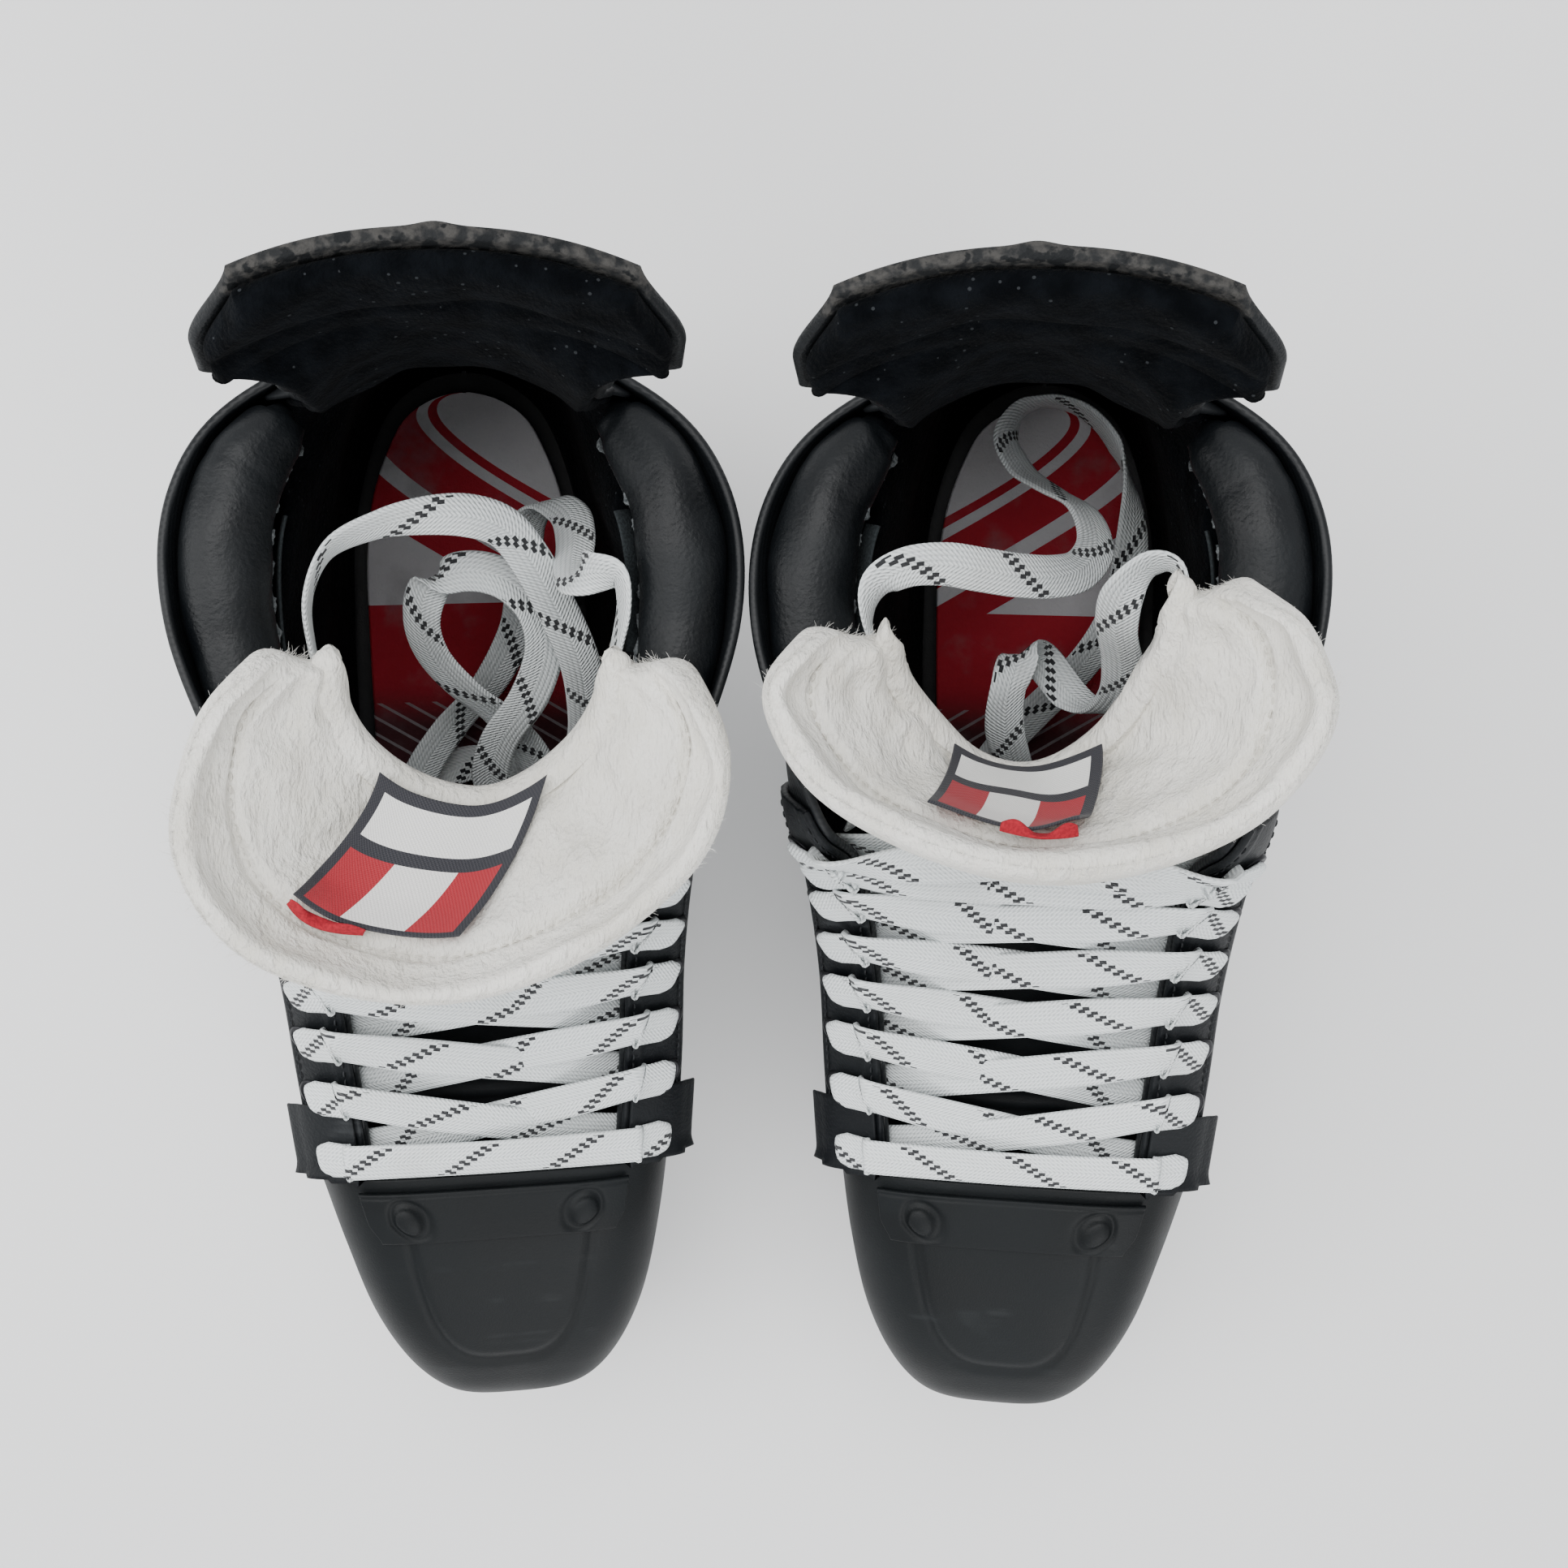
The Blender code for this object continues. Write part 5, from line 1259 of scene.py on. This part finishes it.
def make_holder(side):
    rail = [(-141, 20), (141, 20), (143, 27), (128, 36), (96, 42), (52, 38), (22, 33), (-22, 32), (-48, 37),
            (-84, 42), (-120, 38), (-143, 28)]
    blocks = [prism(rail, HOLDER_HALF)]
    for foot, top, half in (((-112, -44), (-106, -40), 15.0), ((66, 124), (60, 118), 13.0)):
        blocks.append(frustum((5.4, foot[0], foot[1], 33.0), (half, top[0], top[1], (holder_top(top[0]) - 0.5,
                                                                                     holder_top(top[1]) - 0.5))))
    for near, far, half in ((-116, -34, 31.0), (54, 124, 24.0)):
        blocks.append(frustum((half, near, far, (holder_top(near) - 3.4, holder_top(far) - 3.4)),
                              (half, near, far, (holder_top(near), holder_top(far)))))
    points, faces, start = [], [], 0
    for some, fans in blocks:
        points += some
        faces += [tuple(start + k for k in face) for face in fans]
        start += len(some)
    mesh = bpy.data.meshes.new(f"{side}_holder_moulding")
    mesh.from_pydata(in_frame(side, np.array(points, float)).tolist(), [], faces)
    made = bpy.data.objects.new(f"{side}_holder_moulding", mesh)
    bpy.context.scene.collection.objects.link(made)
    shape = bmesh.new()
    shape.from_mesh(mesh)
    bmesh.ops.recalc_face_normals(shape, faces=shape.faces)
    shape.to_mesh(mesh)
    shape.free()
    cut = made.modifiers.new("one skin", "REMESH")
    cut.mode = "VOXEL"
    cut.voxel_size = 1.15 * MM
    fillet = made.modifiers.new("fillets", "SMOOTH")
    fillet.factor = 0.5
    fillet.iterations = 7
    baked(made)
    slot_points, slot_faces = frustum((1.85, -160, 160, 8.0), (1.85, -160, 160, STEEL_TOP + 0.35))
    knife_mesh = bpy.data.meshes.new(f"{side}_slot_knife")
    knife_mesh.from_pydata(in_frame(side, np.array(slot_points, float)).tolist(), [],
                           slot_faces if side == "right" else [face[::-1] for face in slot_faces])
    knife = bpy.data.objects.new(f"{side}_slot_knife", knife_mesh)
    bpy.context.scene.collection.objects.link(knife)
    slot = made.modifiers.new("blade slot", "BOOLEAN")
    slot.operation = "DIFFERENCE"
    slot.solver = "EXACT"
    slot.object = knife
    baked(made)
    bpy.data.objects.remove(knife)
    made.data.shade_smooth()
    made.data.set_sharp_from_angle(angle=math.radians(50))
    made.data.materials.clear()
    made.data.materials.append(FINISH["holder"])
    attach(made, f"{side}_skate")
    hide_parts(f"{side}_blade_holder")


def make_runner(side):
    """The steel: a rockered edge with a hollow ground along it, in a bevelled plate."""
    low = np.linspace(-142, 142, 73)
    out = np.maximum(0, np.abs(low) - 46) / 96
    bottom = np.stack([low, 2.6 * out ** 2 + 9 * out ** 9], axis=-1)
    ends = np.array([(143.2, 15.5), (144, 20), (140, STEEL_TOP)])
    top = np.stack([np.linspace(137, -137, 40), np.full(40, STEEL_TOP)], axis=-1)
    outline = np.concatenate([bottom, ends, top, ends[::-1] * (-1, 1)])
    centre = outline.mean(axis=0)
    inner = outline + unit(centre - outline) * 0.25
    inner[:73] = bottom + (0, 0.0)
    inner[:73, 1] += 0.10
    rings = []
    for half, loop in ((1.5, inner), (1.5, inner), (1.25, outline), (-1.25, outline), (-1.5, inner)):
        rings.append(np.stack([np.full(len(loop), half), loop[:, 0], loop[:, 1]], axis=-1))
    rings = np.array(rings[1:])
    count, around = rings.shape[:2]
    hollow = rings[1:3].mean(axis=0)
    hollow[:73, 2] += 0.12  # the groove that gives the two edges
    rings = np.array([rings[0], rings[1], hollow, rings[2], rings[3]])
    made = sweep(f"{side}_runner_steel", side, rings, np.zeros((5, around, 3)), FINISH["steel"], "polished_steel",
                 stands_for=[f"{side}_runner"])
    made.data.set_sharp_from_angle(angle=math.radians(25))


def make_hardware(side):
    """Bolt heads with round sockets, nuts, and the copper rivets of the sole."""
    for label, y in zip(("front", "rear"), BOLT_Y):
        head = lathe((0, y, BOLT_Z), (1, 0, 0), ((0.0, 7.4), (1.9, 7.4), (2.1, 8.5), (3.2, 8.7), (4.0, 8.4), (4.4, 7.7),
                                                 (4.4, 6.05), (2.2, 6.0), (2.2, -6.2), (0.0, -6.2)), 36)
        points, faces, lay = joined([head])
        piece(f"{side}_{label}_bolt_head", side, points, faces, lay, FINISH["bolt"], "bolt_steel",
              stands_for=[f"{side}_{label}_runner_bolt"])
        nut = lathe((0, y, BOLT_Z), (-1, 0, 0), ((2.35, 8.75), (3.6, 8.8), (4.4, 8.3), (4.4, 6.45), (3.6, 6.05),
                                                 (2.35, 6.0), (2.35, 7.4)), 36)
        points, faces = nut
        around = 36
        faces = [face for face in faces if len(face) == 4]
        faces += [(6 * around + k, 6 * around + (k + 1) % around, (k + 1) % around, k) for k in range(around)]
        points, faces, lay = joined([(points, faces)])
        piece(f"{side}_{label}_bolt_nut", side, points, faces, lay, FINISH["bolt"], "bolt_steel",
              stands_for=[f"{side}_{label}_runner_nut"])
    spots = ((1, -100, 22), (2, -52, -24), (3, 66, -19.5), (4, 110, 19.5))
    for number, y, x in spots:
        make_rivet(side, f"{side}_copper_rivet_{number}", x, y, [f"{side}_rivet_{number}"])
    for number, (y, x) in enumerate(((-100, -22), (-52, 24), (-76, 26), (-76, -26), (66, 19.5), (110, -19.5), (88, 20.5),
                                     (88, -20.5)), start=5):
        make_rivet(side, f"{side}_copper_rivet_{number}", x, y, [])


def make_rivet(side, name, x, y, stands_for):
    base = holder_top(y) - 3.4
    head = lathe((x, y, base), (0, 0, -1), ((0.0, 1.15), (0.9, 1.1), (1.9, 0.85), (2.8, 0.45), (3.3, 0.1), (3.2, -0.15),
                                            (1.6, -0.3), (1.6, -2.5), (0.0, -2.5)), 24)
    points, faces, lay = joined([head])
    piece(name, side, points, faces, lay, FINISH["copper"], "copper", stands_for=stands_for)


# ---------------------------------------------------------------- the laces
OVER = -(OVERLAY_GAP + EYESTAY + 1.25)
UNDER = SHELL + 1.6
LACE_FACE = np.array((0.0, -0.36, 0.93))


def wall_point(a, v, inset=0.0):
    return wall(np.array([float(a)]), np.array([float(v)]), inset)[0]


def eyelet_a(way, k):
    """way is 1 on the medial side and -1 on the lateral one."""
    return EYELETS[k] if way > 0 else 2 * HEEL - EYELETS[k]


def lay_flat(way, k, inset, shift):
    a = eyelet_a(way, k)
    place = wall_point(a, EYELET_V + shift, inset)
    return place, unit(wall_point(a, EYELET_V + shift, inset - 1) - place)


def bore(way, k):
    a = eyelet_a(way, k)
    return wall_point(a, EYELET_V, SHELL / 2), unit(wall_point(a, EYELET_V + 0.03) - wall_point(a, EYELET_V - 0.03))


def over(way, k):
    lifts = ((0.158, 0.8), (0.12, 0.8), (0.085, 0.7), (0.045, 0.5), (0.008, 0.0))
    return [lay_flat(way, k, OVER - lift, shift) for shift, lift in lifts]


def under(way, k):
    return [lay_flat(way, k, UNDER + drop, shift) for shift, drop in ((0.01, 0.2), (0.08, 0.7), (0.155, 0.5))]


def crossing(way, k):
    """From an eyelet under its eyestay, across, and over the other eyestay to the next eyelet there."""
    start, end = under(way, k), over(-way, k + 1)
    leave, arrive = start[-1][0], end[0][0]
    middle = (leave + arrive) / 2 + (0, 0, (3.4 if way > 0 else 0.8) - 0.6 * k)
    free = [(leave + middle) / 2 + (0, 0, 0.8), middle, (arrive + middle) / 2 + (0, 0, 0.8)]
    return [bore(way, k)] + start + [(place, LACE_FACE) for place in free] + end


def lace_half(way):
    here, there = over(way, 0), over(-way, 0)
    route = [((here[0][0] + there[0][0]) / 2 + (0, 0, 2.0), LACE_FACE)] + here
    for k in range(len(EYELETS) - 1):
        route += crossing(way, k)
        way = -way
    top = len(EYELETS) - 1
    return route + [bore(way, top), lay_flat(way, top, UNDER + 0.6, -0.008)]


def make_laced(side):
    knots = lace_half(1)[::-1] + lace_half(-1)[1:]
    places = np.array([place for place, _ in knots])
    ways = np.array([face for _, face in knots])
    ahead = directions(places)
    across = unit(np.cross(ahead, ways))
    for k in range(1, len(across)):
        if np.dot(across[k], across[k - 1]) < 0:
            across[k] = -across[k]
    t = np.linspace(0, len(knots) - 1, 7 * (len(knots) - 1) + 1)
    route = curve(places, t)
    bores = np.array([bore(way, k)[0] for way in (1, -1) for k in range(len(EYELETS))])
    near = np.min(np.linalg.norm(route[:, None] - bores, axis=-1), axis=1)
    half = np.minimum(LACE_W / 2 + 0.35, 2.4 + 1.05 * np.maximum(0, near - 3.2))
    bulk = 1 + 0.9 * smooth(9.0, 3.0, near)
    band(f"{side}_lace_braid", side, route, curve(across, t), half, FINISH["lace"], "white_lace", bulk=bulk,
         stands_for=[f"{side}_lace"])
    return lengths_along(route)[-1]


def make_tail(side, label):
    node = f"{side}_{label}_lace_tail"
    places = np.array(TAILS[node], float)
    t = np.linspace(0, len(places) - 1, 8 * (len(places) - 1) + 1)
    route = curve(places, t)
    numbers = [number for number, _ in TAIL_TURNS[node]]
    ways = np.array([way for _, way in TAIL_TURNS[node]], float)
    wide = np.stack([np.interp(t, numbers, ways[:, k]) for k in range(3)], axis=-1)
    s = lengths_along(route)
    left = s[-1] - s
    half = np.minimum(LACE_W / 2, np.where(left < 14, 1.5, 1.5 + (left - 14) * 0.9))
    bulk = np.where(left < 14, 1.7, 1.0)
    made = band(f"{node}_braid", side, route, wide, half, FINISH["lace"], "white_lace", bulk=bulk, stands_for=[node])
    centres = in_frame(side, route)
    return s[-1]


# ---------------------------------------------------------------- everything
for side in SIDES:
    for part in ("medial", "lateral"):
        make_walls(side, part)
        make_collar(side, part)
    make_lining(side)
    make_toe(side)
    make_soles(side)
    make_label(side, make_tongue(side))
    make_tongue_neck(side)
    make_guard(side)
    make_guard_base(side)
    make_holder(side)
    make_runner(side)
    make_hardware(side)
    laced = make_laced(side)
    loose = [make_tail(side, label) for label in ("medial", "lateral")]
    print(f"{side} lace: {laced:.0f} mm laced, {loose[0]:.0f} and {loose[1]:.0f} mm loose")

# ---------------------------------------------------------------- floor, light and camera
def lit_from(name, place, aim, size, power, tint=(1.0, 1.0, 1.0)):
    """A soft rectangular studio light."""
    data = bpy.data.lights.new(name, "AREA")
    data.shape = "RECTANGLE"
    data.size, data.size_y = size
    data.energy = power
    data.color = tint
    lamp = bpy.data.objects.new(name, data)
    lamp.location = place
    lamp.rotation_euler = (Vector(aim) - Vector(place)).to_track_quat("-Z", "Y").to_euler()
    bpy.context.scene.collection.objects.link(lamp)


def make_floor():
    reach = 60.0
    mesh = bpy.data.meshes.new("studio_floor")
    corners = [(-reach, -reach, 0), (reach, -reach, 0), (reach, reach, 0), (-reach, reach, 0)]
    mesh.from_pydata(corners, [], [(0, 1, 2, 3)])
    pale = Finish("studio_floor", 0.9)
    pale.colour(pale.mix(pale.noise(0.6, 2), (0.86, 0.86, 0.86), (0.89, 0.89, 0.89)))
    mesh.materials.append(pale.made)
    floor = bpy.data.objects.new("studio_floor", mesh)
    bpy.context.scene.collection.objects.link(floor)


make_floor()
lit_from("overhead", (-0.25, 0.55, 1.7), (0.0, 0.0, 0.12), (1.6, 1.2), 31)
lit_from("toe side", (0.35, -1.15, 1.0), (0.0, -0.02, 0.12), (1.2, 0.8), 11)
lit_from("left side", (-1.2, 0.1, 0.8), (0.0, 0.0, 0.15), (0.8, 1.2), 9)
world = bpy.data.worlds.new("studio")
world.use_nodes = True
world.node_tree.nodes["Background"].inputs["Color"].default_value = (0.96, 0.975, 1.0, 1)
world.node_tree.nodes["Background"].inputs["Strength"].default_value = 0.82
bpy.context.scene.world = world

lens = bpy.data.cameras.new("from above")
lens.sensor_fit = "HORIZONTAL"
lens.angle = math.radians(45.84)
view = bpy.data.objects.new("from above", lens)
view.location = (0.0082, 0.0832, 0.5866)
view.rotation_euler = (math.radians(-6.13), 0, 0)
bpy.context.scene.collection.objects.link(view)
bpy.context.scene.camera = view
